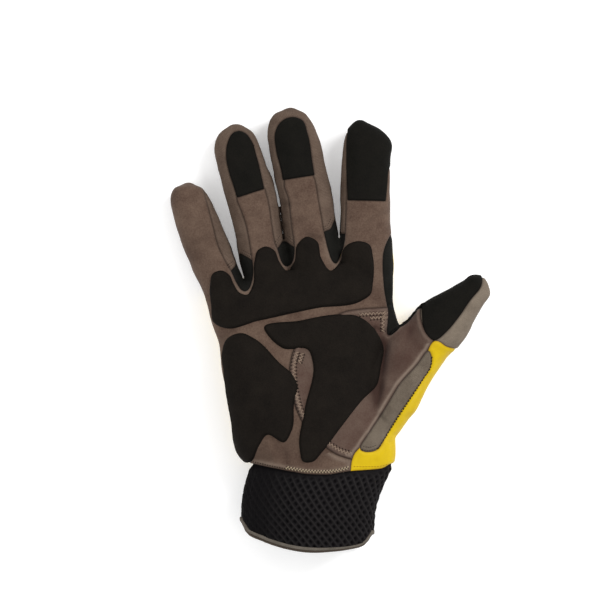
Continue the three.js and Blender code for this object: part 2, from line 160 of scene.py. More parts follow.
# Edges of the cloth pieces as seen from above. Columns: x, y
HEM_LINE = [
    (-REACH, -74.5), (-45, -75), (-34, -77.2), (-14.5, -80.7), (-2, -81.2),
    (11, -79), (29.5, -78), (33.5, -75), (REACH, -73),
]
MOUTH_LINE = [
    (-REACH, -70), (-50.5, -107), (-46.5, -114.5), (-38.5, -118.5), (-27, -122.5),
    (-13, -124.9), (0, -124.5), (11, -123), (18, -121), (23, -115), (REACH, -80),
]
KNUCKLE_LINE = [
    (-REACH, 16), (-70, 19), (-49, 28), (-26, 47), (3.8, 50), (36, 45), (REACH, 45),
]
PALM_OUTLINE = [
    (-REACH, -76), (14, -REACH), (20, -30), (27, -5), (31, 8), (37, 22), (40, 60), (40, 112),
    (28, 125), (14, 125), (10, 112), (8.5, 90), (8.3, 72), (8, 64), (7.5, 50),
    (5, 39), (3, 36.5), (0.5, 38.5), (-1.5, 44.5), (-4, 55),
    (-5.5, 64), (-7.5, 75.5), (-8.9, 85.5), (-13, 88.5), (-21, 108), (-24, 92),
    (-27, 81), (-25, 76.5), (-23.5, 71), (-23, 64), (-22, 55.5), (-20.5, 46),
    (-21.2, 39.5), (-22.8, 36.4), (-25, 35.3), (-27.2, 37.2), (-28.6, 41), (-29.8, 45.5),
    (-31.3, 48), (-33, 58.5), (-34.5, 69.5), (-36.4, 77), (-37, 79.5), (-41, 81.5), (-48, 102),
    (-50, 84), (-53.6, 73.4), (-51, 68), (-48, 60), (-46, 50), (-44.4, 39),
    (-43.6, 33), (-44.6, 26), (-46.2, 22.4), (-48.4, 21.3), (-50.8, 22.6), (-53, 26.2), (-56, 33.5),
    (-59, 38), (-63.5, 47), (-69, 70), (-71.5, 78), (-72, 92), (-110, 92), (-110, 20),
]
THUMB_PANEL_OUTLINE = [
    (14, -73.2), (8.3, -71.7), (3.9, -70.3), (0.9, -68.6), (-2.2, -66.4), (-9, -61), (-16.4, -51.6),
    (-20.2, -42.9), (-22.6, -32), (-23.5, -22.7), (-22.4, -16), (-20.8, -10.5), (-12, 0), (7.8, 10.4),
    (20, 11.8), (36, 12.6), (36, 4), (42, 14), (60, 30), (62, 0), (57, -6.5), (54.5, -10.5),
    (45, -35), (25, -68), (16, -72),
]
THUMB_BACK_EDGE = [(57, -6.5), (60.5, -6.5), (64.5, -10), (69.5, -11), (110, -20)]
YELLOW_OUTLINE = [
    (11, -REACH), (11, -78.4), (11.5, -74), (12.6, -70), (15, -67), (40, -45), (53, -20),
    (54.5, -10.5), *THUMB_BACK_EDGE, (60, -REACH),
]
SIDE_STRIP_OUTLINE = [
    (54.5, -10.5), (48, -20), (38.5, -30), (27.5, -48.5), (15, -67), (20.5, -69), (26.5, -67.5),
    (37.5, -48.5), (56, -21.5), (56.8, -16),
]
THUMB_TIP_OUTLINE = [
    (50, 60), (50, 34), (50.5, 14), (49.5, 8), (52, -1), *THUMB_BACK_EDGE, (110, 60),
]
SADDLE_OUTLINE = [
    (34, 54), (29.5, 44.5), (29, 36), (30, 22), (32.4, 10), (31, -4.6), (38.5, 0.2), (42, 12), (45, 56),
]
THUMB_CAP_OUTLINE = [
    (83, 40), (50, 34), (50.7, 9.8), (51, 2.5), (52.6, -2.5), (56.8, -6.6), (60.5, -5.3), (67.2, 1.4),
    (72.8, 8.7), (77.8, 16.5), (83.2, 22.3), (85.2, 27),
]

# Black stretch cloth in the forks between the fingers
WEB_OUTLINES = {
    "web_pinky_ring": [
        (-56.6, 32.4), (-53.2, 35.6), (-51.6, 42.8), (-43.4, 38.2), (-42, 30), (-43.5, 20), (-54, 20),
    ],
    "web_ring_middle": [
        (-31.4, 43.8), (-28.6, 46.6), (-26.3, 50), (-24, 47.8), (-19.4, 45.2), (-20, 36), (-24.5, 33),
        (-29, 38),
    ],
    "web_middle_index": [
        (-5, 54.3), (0.2, 56.3), (2.6, 61.5), (4.2, 56), (5, 53.7), (9, 53.5), (8, 40), (3, 34), (-2, 38),
    ],
}

# Lines in the gaps between the fingers
PINKY_RING_SPLIT = [(-49, 10), (-49, 29), (-52, 38.5), (-58.5, 59), (-68, 80), (-80, REACH)]
RING_MIDDLE_SPLIT = [
    (-24, 10), (-26.2, 49), (-27.7, 60), (-29, 72.5), (-33, 86), (-39, 106), (-46, REACH),
]
MIDDLE_INDEX_SPLIT = [(4.9, 10), (4.9, 52), (4.4, 59), (3, 72.5), (1, 92), (-2, REACH)]

# Gaps that stay open between the fingers down to their forks: the bottom's height, and the outline
FORK_GAPS = {
    "pinky_ring": (-5, [(-49, 28.6), (-51.1, 38), (-53.1, 51), (-57.7, 51), (-54.8, 41.5), (-52.9, 36)]),
    "ring_middle": (11, [
        (-25.7, 50.8), (-26.9, 60), (-27.7, 64), (-28.4, 70), (-28.8, 72), (-30.1, 72), (-29.6, 70),
        (-28.9, 64), (-28.1, 60), (-27, 50.8),
    ]),
    "ring_middle_tips": (-5, [
        (-28.3, 69), (-29.6, 76), (-31.7, 84.7), (-33.5, 93), (-35.5, 93), (-32.9, 84.7), (-30.7, 76),
        (-29.5, 69),
    ]),
    "middle_index": (-5, [
        (4.6, 50.6), (5.2, 56), (5.3, 67), (5.6, 80), (-0.3, 80), (1.9, 67), (2.6, 61.3), (3.6, 55.7),
    ]),
}

# Rims of the raised pads
KNUCKLE_PAD = [
    (-67.8, 25.5), (-66.3, 31.3), (-61, 33), (-57, 30.5), (-54.5, 25.5), (-51, 20.5), (-47, 19.5),
    (-44, 24.5), (-43, 38), (-41, 44.5), (-36.5, 46.5), (-32, 44.5), (-29, 38), (-24.5, 32.5),
    (-20.5, 38), (-19, 47.5), (-13.5, 52), (-8, 49.5), (-5.5, 40), (0, 33), (5, 38), (8.5, 47),
    (15, 49.5), (21.5, 47.5), (23.5, 40.5), (23.5, 26.5), (22, 19.5), (17, 16), (-7.5, 12),
    (-40, 5), (-60.5, 1), (-64.5, 2.8), (-67, 13.5),
]
THENAR_PAD = [
    (-37.5, 0.5), (-17.5, 5), (5, 8.5), (13.5, 8), (19.5, 5), (26.5, -3), (29.5, -10), (28, -21.5),
    (26, -30.5), (17.5, -39.5), (5, -55.5), (-5, -68.5), (-10.5, -74), (-15.5, -74), (-17.5, -67.5),
    (-15, -45), (-10.5, -18), (-12.5, -12), (-27, -10.5), (-33, -6),
]
HEEL_PAD = [
    (-60.6, -12.5), (-58, -5), (-50, -2), (-43, -5), (-28.5, -19), (-20.5, -26.5), (-18.5, -32),
    (-20.5, -40), (-22, -56.5), (-26, -63), (-36, -59), (-40, -64.5), (-45.8, -74.5), (-49.9, -71.2),
    (-53.2, -62.4), (-55.2, -50.5), (-57.8, -36.5), (-59.8, -22.5),
]

# Fingertip patches, from one lower corner over the tip to the other
RING_TIP = [
    (-37.4, 78.8), (-39, 86.5), (-41.8, 97.7), (-44.6, 106.1), (-48.2, 110.3), (-51.6, 111.4),
    (-55.2, 109.9), (-57.7, 105.4), (-58.8, 96.3), (-57.2, 87.9), (-54.4, 79.5), (-52.8, 73.9),
]
MIDDLE_TIP = [
    (-9.2, 86.5), (-10.4, 93.5), (-13.2, 110.3), (-16, 117.3), (-20.2, 119), (-25, 118.4),
    (-29.2, 115.2), (-31.4, 110.3), (-30.9, 100.5), (-27.8, 87.9), (-27.2, 83.7),
]
INDEX_TIP = [
    (30.9, 72), (31.8, 82), (32.4, 89), (34.5, 95), (40, 101), (40, 122), (24, 124), (14, 121),
    (10.8, 116.5), (8.8, 109), (8.4, 98), (9.1, 72.5),
]

# Places where broad shade is painted on the suede: x, y, reach, strength
SHADED_PLACES = [
    (47, -4, 8, 0.5), (37, -19, 8, 0.55), (-38, -70, 8, 0.5), (-23, -64, 9, 0.5), (-5, -69, 7, 0.3),
    (-71, 47, 13, 0.25), (-38, 50, 8, 0.12),
]

# Folds of the cloth on the palm side. Columns: from x, y, to x, y, half width, height
PALM_FOLDS = [
    (29.3, -2, 24.6, -42, 4.2, -2.6), (30, -4, 27.2, -27, 1.8, -0.7), (27.8, -28, 24.5, -46, 2, -1.5),
    (43, -2, 34, -34, 4.5, 1.2), (46, 4, 37, -20, 1.8, -0.8), (37, -22, 31, -40, 1.6, -0.6),
    (26, -47, 31, -53, 1.8, -0.9),
    (20, -56, 27, -62, 1.8, -0.6), (14, -52, 22, -60, 2, 0.6), (31.4, 13.7, 36.5, 13.7, 0.9, -0.7),
    (-45, 76, -36, 73, 1.4, -0.4), (-50, 88, -38, 84, 1.6, 0.3), (-20, 60, -8, 64, 1.5, -0.35),
    (22, 1.5, 32, -1.5, 1.2, -0.9), (22, 4, 32, 1.5, 1.3, 0.5), (50, 4, 44, -14, 3, -0.5),
    (-15, 53.5, -4, 50.5, 1.6, -0.9), (-58, 53, -50, 52, 1.2, -0.6), (-80, 47, -66, 54, 1.5, -0.35),
    (-76, 60, -68, 58, 1.6, -0.3), (-52, 62, -34, 66, 1.4, -0.3), (-24, 69, -7, 72, 1.4, -0.3),
    (18, 60, 33, 66, 1.6, -0.5), (15, 56, 31, 61, 1.4, 0.3), (-29.5, 71, -22, 70, 2, -0.7),
    (-36, -62, -30, -77, 1.8, 0.5), (-26, -66, -24, -79, 1.6, -0.5), (-6, -74, 4, -78, 1.4, 0.4),
    (45, -52, 33, -66, 2, -0.7), (58, -22, 44, -46, 2.2, -0.5), (34, -64, 24, -73, 2, 0.6),
    (-64, -8, -52, 2, 2.2, -0.5), (36, 28, 26, 33, 1.8, -0.3),
]
BACK_FOLDS = [
    (-60, 10, 24, 30, 4, -0.6), (-48, -20, 20, -10, 6, -0.5), (-46, -60, 26, -56, 4, -0.6),
]


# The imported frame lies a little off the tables' own zero
strip_low, strip_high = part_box("thumb_side_strip")
strip_x, strip_y = zip(*SIDE_STRIP_OUTLINE)
SHIFT = np.array((strip_low[0] / MM - min(strip_x), strip_high[1] / MM - max(strip_y), 0))


# Making, selecting, editing and reading pieces
def only(piece):
    bpy.ops.object.select_all(action="DESELECT")
    piece.select_set(True)
    bpy.context.view_layer.objects.active = piece


@contextmanager
def editing(piece, selection="SELECT", by_faces=False):
    only(piece)
    bpy.context.tool_settings.mesh_select_mode = (not by_faces, False, by_faces)
    bpy.ops.object.mode_set(mode="EDIT")
    if selection:
        bpy.ops.mesh.select_all(action=selection)
    yield
    bpy.ops.object.mode_set(mode="OBJECT")


def values_of(items, what, each=1, kind=int):
    found = np.empty(len(items) * each, kind)
    items.foreach_get(what, found)
    return found


def points_of(piece, what="co"):
    return values_of(piece.data.vertices, what, 3, float).reshape(-1, 3)


def put(piece, points):
    piece.data.vertices.foreach_set("co", np.ascontiguousarray(points, dtype=float).ravel())
    piece.data.update()


def new_object(name, data):
    made = bpy.data.objects.new(name, data)
    bpy.context.collection.objects.link(made)
    return made


def new_piece(name, add, **settings):
    bpy.ops.object.select_all(action="DESELECT")
    add(**settings)
    bpy.context.object.name = name
    return bpy.context.object


def twin(piece, name):
    return new_object(name, piece.data.copy())


def dress(piece, material):
    piece.data.materials.clear()
    piece.data.materials.append(material)


def discard(*pieces):
    for piece in pieces:
        bpy.data.objects.remove(piece)


def apply(piece, kind, **settings):
    change = piece.modifiers.new("change", kind)
    for name, value in settings.items():
        setattr(change, name, value)
    only(piece)
    bpy.ops.object.modifier_apply(modifier=change.name)


def select_faces(piece, chosen):
    """Selects some faces and nothing else."""
    with editing(piece, "DESELECT", by_faces=True):
        pass
    piece.data.polygons.foreach_set("select", chosen)


# Curves and outlines
def unit(vectors):
    return vectors / np.linalg.norm(vectors, axis=1, keepdims=True)


def lengths_along(points):
    """How far each point lies from the first along the line through them."""
    return np.concatenate([[0], np.cumsum(np.linalg.norm(np.diff(points, axis=0), axis=1))])


def full_turn(count):
    return np.arange(count) * 2 * math.pi / count


def squared_off(wave, squareness):
    """A sine or cosine bent towards a square."""
    return np.sign(wave) * np.abs(wave)**(2 / squareness)


def eased(share):
    return share**2 * (3 - 2 * share)


def bell(value, middle=0.0, width=1.0):
    """1 where a value is at the middle, fading away over a width on both sides."""
    return np.exp(-((value - middle) / width)**2)


def curve_through(points, step, closed=False, spacing=None):
    """Places about a step apart on a smooth curve through all the points."""
    points = np.array(points, float)
    spacing = points if spacing is None else np.array(spacing, float)
    if closed:
        points = np.concatenate([points[-2:], points, points[:3]])
        spacing = np.concatenate([spacing[-2:], spacing, spacing[:3]])
    along = lengths_along(spacing)
    slopes = np.gradient(points, along, axis=0)
    first, last = (2, len(points) - 3) if closed else (0, len(points) - 1)
    count = math.ceil((along[last] - along[first]) / step)
    places = np.linspace(along[first], along[last], count + 1)
    if closed:
        places = places[:-1]
    index = np.clip(np.searchsorted(along, places, side="right") - 1, 0, len(points) - 2)
    width = (along[index + 1] - along[index])[:, None]
    t = (places - along[index])[:, None] / width
    bend = (t**3 - 2 * t**2 + t) * slopes[index] + (t**3 - t**2) * slopes[index + 1]
    straight = (2 * t**3 - 3 * t**2 + 1) * points[index] + (3 * t**2 - 2 * t**3) * points[index + 1]
    return straight + width * bend


def smooth(outline):
    return curve_through(outline, OUTLINE_STEP, closed=True)


def rounded(outline, reach=4.0, steps=5):
    """A closed outline with a short curve in place of each corner."""
    points = np.array(outline, float)
    ends = []
    for neighbour in (np.roll(points, 1, axis=0), np.roll(points, -1, axis=0)):
        side = neighbour - points
        length = np.linalg.norm(side, axis=1, keepdims=True)
        ends.append(points + side / length * np.minimum(reach, CORNER_SHARE * length))
    t = np.linspace(0, 1, steps)[None, :, None]
    curve = (1 - t)**2 * ends[0][:, None] + 2 * t * (1 - t) * points[:, None] + t**2 * ends[1][:, None]
    return curve.reshape(-1, 2)


def cornered(line):
    """A smooth curve through a line's points, closed by a straight edge from its end to its start."""
    return rounded(curve_through(line, OUTLINE_STEP), PATCH_CORNER)


def beside(path, aside):
    """A path moved to its left by a distance."""
    path = curve_through(path, OUTLINE_STEP)
    along = unit(np.gradient(path, axis=0))
    return path + np.column_stack([-along[:, 1], along[:, 0]]) * aside


def wristward(line, shift=0):
    return rounded([(x, y + shift) for x, y in line] + [(REACH, -2 * REACH), (-REACH, -2 * REACH)])


def thumbward(line):
    return rounded(list(line) + [(2 * REACH, REACH), (2 * REACH, line[0][1])])


# Solids
def skin(name, rings, filled=True):
    """A tube through rings of points, whose ends are filled or already meet."""
    count, sides = rings.shape[:2]
    add = bpy.ops.mesh.primitive_grid_add
    piece = new_piece(name, add, x_subdivisions=sides, y_subdivisions=count - 1, size=2)
    grid = points_of(piece)
    side = np.rint((grid[:, 0] + 1) / 2 * sides).astype(int) % sides
    step = np.rint((grid[:, 1] + 1) / 2 * (count - 1)).astype(int)
    put(piece, rings[step, side])
    with editing(piece):
        bpy.ops.mesh.remove_doubles(threshold=WELD)
        if filled:
            bpy.ops.mesh.fill_holes(sides=0)
        bpy.ops.mesh.normals_make_consistent(inside=False)
    return piece


def hollow_depth(x, y):
    return sum(
        deep * np.exp(-((x - centre_x)**2 + (y - centre_y)**2) / radius**2)
        for centre_x, centre_y, radius, deep in PALM_HOLLOWS
    )


def section_rings(rows, angles, offset=0.0):
    """Rounded sections through rows of the form's tables."""
    rows = np.array(rows, float)
    roundness = np.where(np.sin(angles) >= 0, ROUNDNESS_ABOVE, ROUNDNESS_BELOW)
    bulge_across = squared_off(np.cos(angles), roundness)
    bulge_up = squared_off(np.sin(angles), roundness)
    left, right, low, high = rows[:, 0:2], rows[:, 2:4], rows[:, 4:5], rows[:, 5:6]
    width = np.linalg.norm(right - left, axis=1, keepdims=True)
    across = (right - left) / width
    reach = (width / 2 + offset) * bulge_across
    x = (left + right)[:, 0:1] / 2 + across[:, 0:1] * reach
    y = (left + right)[:, 1:2] / 2 + across[:, 1:2] * reach
    sink = hollow_depth(x, y) * np.maximum(0, bulge_up)
    z = (low + high) / 2 + ((high - low) / 2 + offset) * bulge_up - sink
    return np.stack([x, y, z], axis=2)


def fine_rows(table):
    rows = np.array(table, float)
    centres = (rows[:, [0, 1, 4]] + rows[:, [2, 3, 5]]) / 2
    return curve_through(rows, RING_STEP, spacing=centres)


def tip_rows(row):
    """Ever smaller rows beyond the last one, which close a fingertip."""
    left, right, heights = row[0:2], row[2:4], row[4:6]
    centre = (left + right) / 2
    across = (right - left) / np.linalg.norm(right - left)
    forward = np.array((-across[1], across[0]))
    middle = heights.mean()
    rows = []
    for share in TIP_SHARES:
        moved = centre + forward * TIP_CAP * (1 - share**2)
        ends = [moved + (left - centre) * share, moved + (right - centre) * share]
        rows.append(np.concatenate([*ends, middle + (heights - middle) * share]))
    return np.array(rows)


def digit(name, table):
    rows = fine_rows(table)
    rows = np.concatenate([rows, tip_rows(rows[-1])])
    return skin(name, section_rings(rows, full_turn(DIGIT_SIDES)))


def block(name, outline, travel):
    """A solid cutter: an outline in space, extruded."""
    piece = new_piece(name, bpy.ops.mesh.primitive_circle_add, vertices=len(outline), fill_type="NGON")
    put(piece, np.array(outline, float))
    with editing(piece):
        bpy.ops.mesh.extrude_region_move(TRANSFORM_OT_translate={"value": travel})
        bpy.ops.mesh.select_all(action="SELECT")
        bpy.ops.mesh.normals_make_consistent(inside=False)
    piece.data.materials.append(cut_mark)
    return piece


def prism(name, outline):
    flat = np.asarray(outline, float)
    return block(name, np.column_stack([flat, np.full(len(flat), -TALL)]), (0, 0, 2 * TALL))


def boolean(piece, operation, *cutters):
    for cutter in cutters:
        apply(
            piece, "BOOLEAN", operation=operation, solver="MANIFOLD", material_mode="TRANSFER", object=cutter,
        )
    return piece


# Sheets of cloth cut out of the form
def panel(name, base, inside=(), outside=()):
    """What lies inside some cutters and outside others, with only the form's own surface kept."""
    piece = twin(base, name)
    boolean(piece, "INTERSECT", *inside)
    boolean(piece, "DIFFERENCE", *outside)
    marks = [slot.material == cut_mark for slot in piece.material_slots]
    select_faces(piece, np.array(marks)[values_of(piece.data.polygons, "material_index")])
    with editing(piece, None, by_faces=True):
        bpy.ops.mesh.delete(type="FACE")
        bpy.ops.mesh.select_all(action="SELECT")
        bpy.ops.mesh.remove_doubles(threshold=SLIVER)
        bpy.ops.mesh.dissolve_degenerate(threshold=SLIVER / 2)
        bpy.ops.mesh.delete_loose()
    piece.data.materials.clear()
    return piece


def search_tree(points):
    tree = kdtree.KDTree(len(points))
    for place, point in enumerate(points):
        tree.insert(point, place)
    tree.balance()
    return tree


def edge_distance(piece):
    """How far each vertex lies from the open edge of its sheet."""
    mesh = piece.data
    faces_beside = np.bincount(values_of(mesh.loops, "edge_index"), minlength=len(mesh.edges))
    rim = values_of(mesh.edges, "vertices", 2).reshape(-1, 2)[faces_beside == 1]
    points = points_of(piece)
    samples = []
    for start, end in points[rim]:
        count = max(1, math.ceil(np.linalg.norm(end - start) / RIM_STEP))
        samples.extend(start + (end - start) * share / count for share in range(count))
    tree = search_tree(samples)
    return np.array([tree.find(point)[2] for point in points])


def refine(piece, reach):
    """Finer faces within reach of the sheet's edge."""
    near = edge_distance(piece) < reach
    chosen = np.array([near[list(face.vertices)].any() for face in piece.data.polygons])
    select_faces(piece, chosen)
    with editing(piece, None, by_faces=True):
        bpy.ops.mesh.subdivide(number_cuts=1)


def round_rise(distance, width):
    """From 0 at an edge to 1 a width away from it, rounded off at the top."""
    t = np.clip(distance / width, 0, 1)
    return 1 - (1 - t)**2


def keep_attribute(piece, name, values):
    made = piece.data.attributes.new(name, "FLOAT", "POINT")
    made.data.foreach_set("value", np.asarray(values, dtype=np.float32))


def worn_edge(points, distance):
    """Worn, lighter nap with a painted highlight on the folded edge beside the side strip, and a little of
    both along the other seams.
    """
    beside_strip = (points[:, 0] > BESIDE_STRIP[0]) & (points[:, 1] < BESIDE_STRIP[1])
    return bell(distance, **FOLDED_EDGE) * np.where(beside_strip, 1, SEAM_WEAR_AND_HIGHLIGHT)


def worn_palm(points, distance):
    """Lighter nap along the hem and on the narrow rims round the forks of the fingers."""
    near = np.zeros(len(points))
    for x, y in FORK_PLACES:
        away = np.hypot(points[:, 0] - x, points[:, 1] - y)
        near = np.maximum(near, np.clip((FORK_REACH - away) / FORK_BLUR, 0, 1))
    near *= FORK_WEAR * bell(distance, width=FORK_RIM) * (points[:, 2] > EDGE_SEAM_HEIGHT)
    return near + HEM_WEAR * (points[:, 1] < HEM_TOP) * bell(distance, **HEM_BAND)


def worn_all(points, distance):
    return np.full(len(points), EVEN_WEAR)


def painted_shade_amount(points):
    """How much shade is painted on the cloth in its fold valleys and at the shaded places."""
    x, y, _ = points.T
    found = np.clip(-fold_height(x, y, PALM_FOLDS) / 2, 0, 1)
    for centre_x, centre_y, reach, strength in SHADED_PLACES:
        found += strength * np.exp(-((x - centre_x)**2 + (y - centre_y)**2) / reach**2)
    return found


def sew(piece, lift=0.0, drop=SEAM_DROP, width=SEAM_WIDTH, ridge=SEAM_RIDGE, worn=None):
    """Turns a sheet's edges down into its seams and gives the cloth its thickness."""
    refine(piece, width + SEAM_FINE)
    distance = edge_distance(piece)
    rise = lift - drop * (1 - round_rise(distance, width)) + ridge * bell(distance, width, SEAM_RIDGE_WIDTH)
    put(piece, points_of(piece) + points_of(piece, "normal") * rise[:, None])
    points = points_of(piece)
    faces_up = points_of(piece, "normal")[:, 2] > UPWARD
    keep_attribute(piece, "seam", np.minimum(distance, SEAM_FADE))
    # Painted shade in the fold valleys and at the shaded places, on faces turned upward
    keep_attribute(piece, "crease", painted_shade_amount(points) * faces_up)
    if worn:
        keep_attribute(piece, "worn", worn(points, distance))
    apply(piece, "SOLIDIFY", thickness=SHELL, offset=-1, use_quality_normals=True)
    return piece


# Finishing
def settle(piece, material, slot, *nodes):
    """Brings a finished piece from millimetres into the frame, with its finish; the slot it is given is not
    used.
    """
    put(piece, (points_of(piece) + SHIFT) * MM)
    only(piece)
    bpy.ops.object.shade_smooth_by_angle(angle=SHARP_ANGLE)
    dress(piece, material)
    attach(piece, "root")
    if nodes:
        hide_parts(*nodes)


# Node groups and materials
def add_node(tree, kind, values=(), **settings):
    made = tree.nodes.new(kind)
    for name, value in settings.items():
        setattr(made, name, value)
    for socket, value in dict(values).items():
        if isinstance(value, bpy.types.NodeSocket):
            tree.links.new(value, made.inputs[socket])
        else:
            made.inputs[socket].default_value = value
    return made


def maths(tree, operation, first, second=0.0, clamp=False):
    made = add_node(tree, "ShaderNodeMath", {0: first, 1: second}, operation=operation, use_clamp=clamp)
    return made.outputs[0]


def remap(tree, value, low, high, to_low=0.0, to_high=1.0):
    values = {"Value": value, "From Min": low, "From Max": high, "To Min": to_low, "To Max": to_high}
    return add_node(tree, "ShaderNodeMapRange", values).outputs[0]


def linear_colour(seen):
    """Red, green and blue as a screen shows them, from 0 to 255, in linear light."""
    shares = np.array(seen) / 255
    linear = np.where(shares <= 0.04045, shares / 12.92, ((shares + 0.055) / 1.055)**2.4)
    return (*linear, 1.0)


def blend_colours(tree, factor, *pair):
    """Each of the pair is another node's colour, or a colour as a screen shows it."""
    first, second = [end if isinstance(end, bpy.types.NodeSocket) else linear_colour(end) for end in pair]
    values = {0: factor, 6: first, 7: second}
    return add_node(tree, "ShaderNodeMix", values, data_type="RGBA").outputs[2]


def new_group(name, inputs, outputs):
    """An empty node group, whose inputs are a vector where no value is given and numbers otherwise."""
    tree = bpy.data.node_groups.new(name, "ShaderNodeTree")
    for label, value in inputs.items():
        kind = "NodeSocketVector" if value is None else "NodeSocketFloat"
        socket = tree.interface.new_socket(label, in_out="INPUT", socket_type=kind)
        if value is not None:
            socket.default_value = value
    for label in outputs:
        tree.interface.new_socket(label, in_out="OUTPUT", socket_type="NodeSocketFloat")
    return tree, tree.nodes.new("NodeGroupInput").outputs, tree.nodes.new("NodeGroupOutput").inputs


def noise_value(tree, vector, size, detail, roughness):
    """Noise whose lumps are about the given size in millimetres."""
    scale = maths(tree, "DIVIDE", 1 / MM, size)
    values = {"Vector": vector, "Scale": scale, "Detail": detail, "Roughness": roughness}
    return add_node(tree, "ShaderNodeTexNoise", values).outputs["Fac"]


PATCH_NOISE = {"detail": 3.0, "roughness": 0.6}
PATCH_RANGE = (0.3, 0.7)
NAP_NOISE = {"detail": 3.0, "roughness": 0.7}
NAP_RANGE = (0.28, 0.72)
WEAVE_SLANT = 0.7
SEAM_SHADE_CURVE = 1.6


def make_mottle_group():
    """Uneven dye and wear in large soft patches, with fine nap over it."""
    inputs = {"Vector": None, "Patch": 14.0, "Nap": 0.7, "Nap share": 0.4}
    tree, inlets, outlets = new_group("dye_mottle", inputs, ["Shade", "Height"])
    patches = noise_value(tree, inlets["Vector"], inlets["Patch"], **PATCH_NOISE)
    nap = noise_value(tree, inlets["Vector"], inlets["Nap"], **NAP_NOISE)
    large = remap(tree, patches, *PATCH_RANGE)
    small = remap(tree, nap, *NAP_RANGE)
    mixed = add_node(tree, "ShaderNodeMix", {0: inlets["Nap share"], 2: large, 3: small}, data_type="FLOAT")
    tree.links.new(mixed.outputs[0], outlets["Shade"])
    tree.links.new(small, outlets["Height"])
    return tree


def make_weave_group():
    """Threads crossing over and under each other."""
    tree, inlets, outlets = new_group("crossed_threads", {"Vector": None, "Thread": 0.8}, ["Height"])
    axes = add_node(tree, "ShaderNodeSeparateXYZ", {0: inlets["Vector"]}).outputs
    rate = maths(tree, "DIVIDE", math.pi / MM, inlets["Thread"])
    along = maths(tree, "SINE", maths(tree, "MULTIPLY", axes[0], rate))
    slanted = maths(tree, "ADD", axes[1], maths(tree, "MULTIPLY", axes[2], WEAVE_SLANT))
    across = maths(tree, "SINE", maths(tree, "MULTIPLY", slanted, rate))
    product = maths(tree, "MULTIPLY", along, across)
    tree.links.new(remap(tree, product, -1.0, 1.0), outlets["Height"])
    return tree


def make_seam_group():
    """Dirt and shade that gather along a sewn edge."""
    tree, inlets, outlets = new_group("seam_shade", {"Distance": 5.0, "Width": 2.0}, ["Mask"])
    share = maths(tree, "DIVIDE", inlets["Distance"], inlets["Width"])
    mask = maths(tree, "SUBTRACT", 1.0, share, clamp=True)
    tree.links.new(maths(tree, "POWER", mask, SEAM_SHADE_CURVE), outlets["Mask"])
    return tree


cut_mark = bpy.data.materials.new("cut_mark")
form_mark = bpy.data.materials.new("form_mark")
mottle_group = make_mottle_group()
weave_group = make_weave_group()
seam_group = make_seam_group()


NAP_DEPTH = 0.3
NAP_OVER_WEAVE = 0.4
WEAVE_SHADE = 0.35
LIGHTENING_PATCHES = (0.45, 0.85)
DIMPLE_EDGE = (0.15, 0.6)
ROUGHNESS_SPREAD = 0.06
SHADE_AND_DIRT_STRENGTH = 0.75


def group_node(tree, group, **values):
    named = {name.replace("_", " "): value for name, value in values.items()}
    return add_node(tree, "ShaderNodeGroup", named, node_tree=group).outputs


def attribute_value(tree, name):
    return add_node(tree, "ShaderNodeAttribute", attribute_name=name).outputs["Fac"]


def cloth(name, dark, light, patch=10, nap=0.8, nap_share=0.4, thread=0.0, seam_colour=None, seam_width=1.2,
          worn_colour=None, crease_colour=None, dimple_shade_colour=None, bump=0.3, roughness=0.85, specular=0.08,
          sheen=0.0):
    """A cloth with uneven dye, a nap or weave, and shade along its seams."""
    material = bpy.data.materials.new(name)
    material.use_nodes = True
    tree = material.node_tree
    shader = tree.nodes["Principled BSDF"]
    place = add_node(tree, "ShaderNodeTexCoord").outputs["Object"]
    mottle = group_node(tree, mottle_group, Vector=place, Patch=patch, Nap=nap, Nap_share=nap_share)
    tint = blend_colours(tree, mottle["Shade"], dark, light)
    height = mottle["Height"]
    if thread:
        weave = group_node(tree, weave_group, Vector=place, Thread=thread)["Height"]
        tint = blend_colours(tree, remap(tree, weave, 0.0, 1.0, WEAVE_SHADE, 0.0), tint, dark)
        height = maths(tree, "ADD", weave, maths(tree, "MULTIPLY", height, NAP_OVER_WEAVE))
    # Painted shade from the mesh's attribute: in the cloth's fold valleys, on the tape's inner face and on
    # the left of the cuff
    if crease_colour:
        crease = maths(tree, "MULTIPLY", attribute_value(tree, "crease"), SHADE_AND_DIRT_STRENGTH)
        tint = blend_colours(tree, crease, tint, crease_colour)
    # Lighter colour from the mesh's attribute: worn nap and knit threads, with a painted highlight on the
    # thumb's folded edge
    if worn_colour:
        patchy = remap(tree, mottle["Shade"], 0.0, 1.0, *LIGHTENING_PATCHES)
        worn = maths(tree, "MULTIPLY", attribute_value(tree, "worn"), patchy)
        tint = blend_colours(tree, worn, tint, worn_colour)
    if seam_colour:
        distance = attribute_value(tree, "seam")
        seam = group_node(tree, seam_group, Distance=distance, Width=seam_width)["Mask"]
        tint = blend_colours(tree, maths(tree, "MULTIPLY", seam, SHADE_AND_DIRT_STRENGTH), tint, seam_colour)
    # Painted shade in the knit's dimples
    if dimple_shade_colour:
        hole = remap(tree, attribute_value(tree, "dimple"), *DIMPLE_EDGE)
        tint = blend_colours(tree, hole, tint, dimple_shade_colour)
    relief = {"Strength": bump, "Distance": NAP_DEPTH * MM, "Height": height}
    bumped = add_node(tree, "ShaderNodeBump", relief)
    spread = (roughness - ROUGHNESS_SPREAD, roughness + ROUGHNESS_SPREAD)
    rough = remap(tree, mottle["Shade"], 0.0, 1.0, *spread)
    tree.links.new(tint, shader.inputs["Base Color"])
    tree.links.new(bumped.outputs[0], shader.inputs["Normal"])
    tree.links.new(rough, shader.inputs["Roughness"])
    shader.inputs["Specular IOR Level"].default_value = specular
    shader.inputs["Sheen Weight"].default_value = sheen
    return material


def sewing_thread(name, dark, light, roughness=0.85, specular=0.1):
    return cloth(name, dark, light, patch=3, nap=0.3, roughness=roughness, specular=specular)


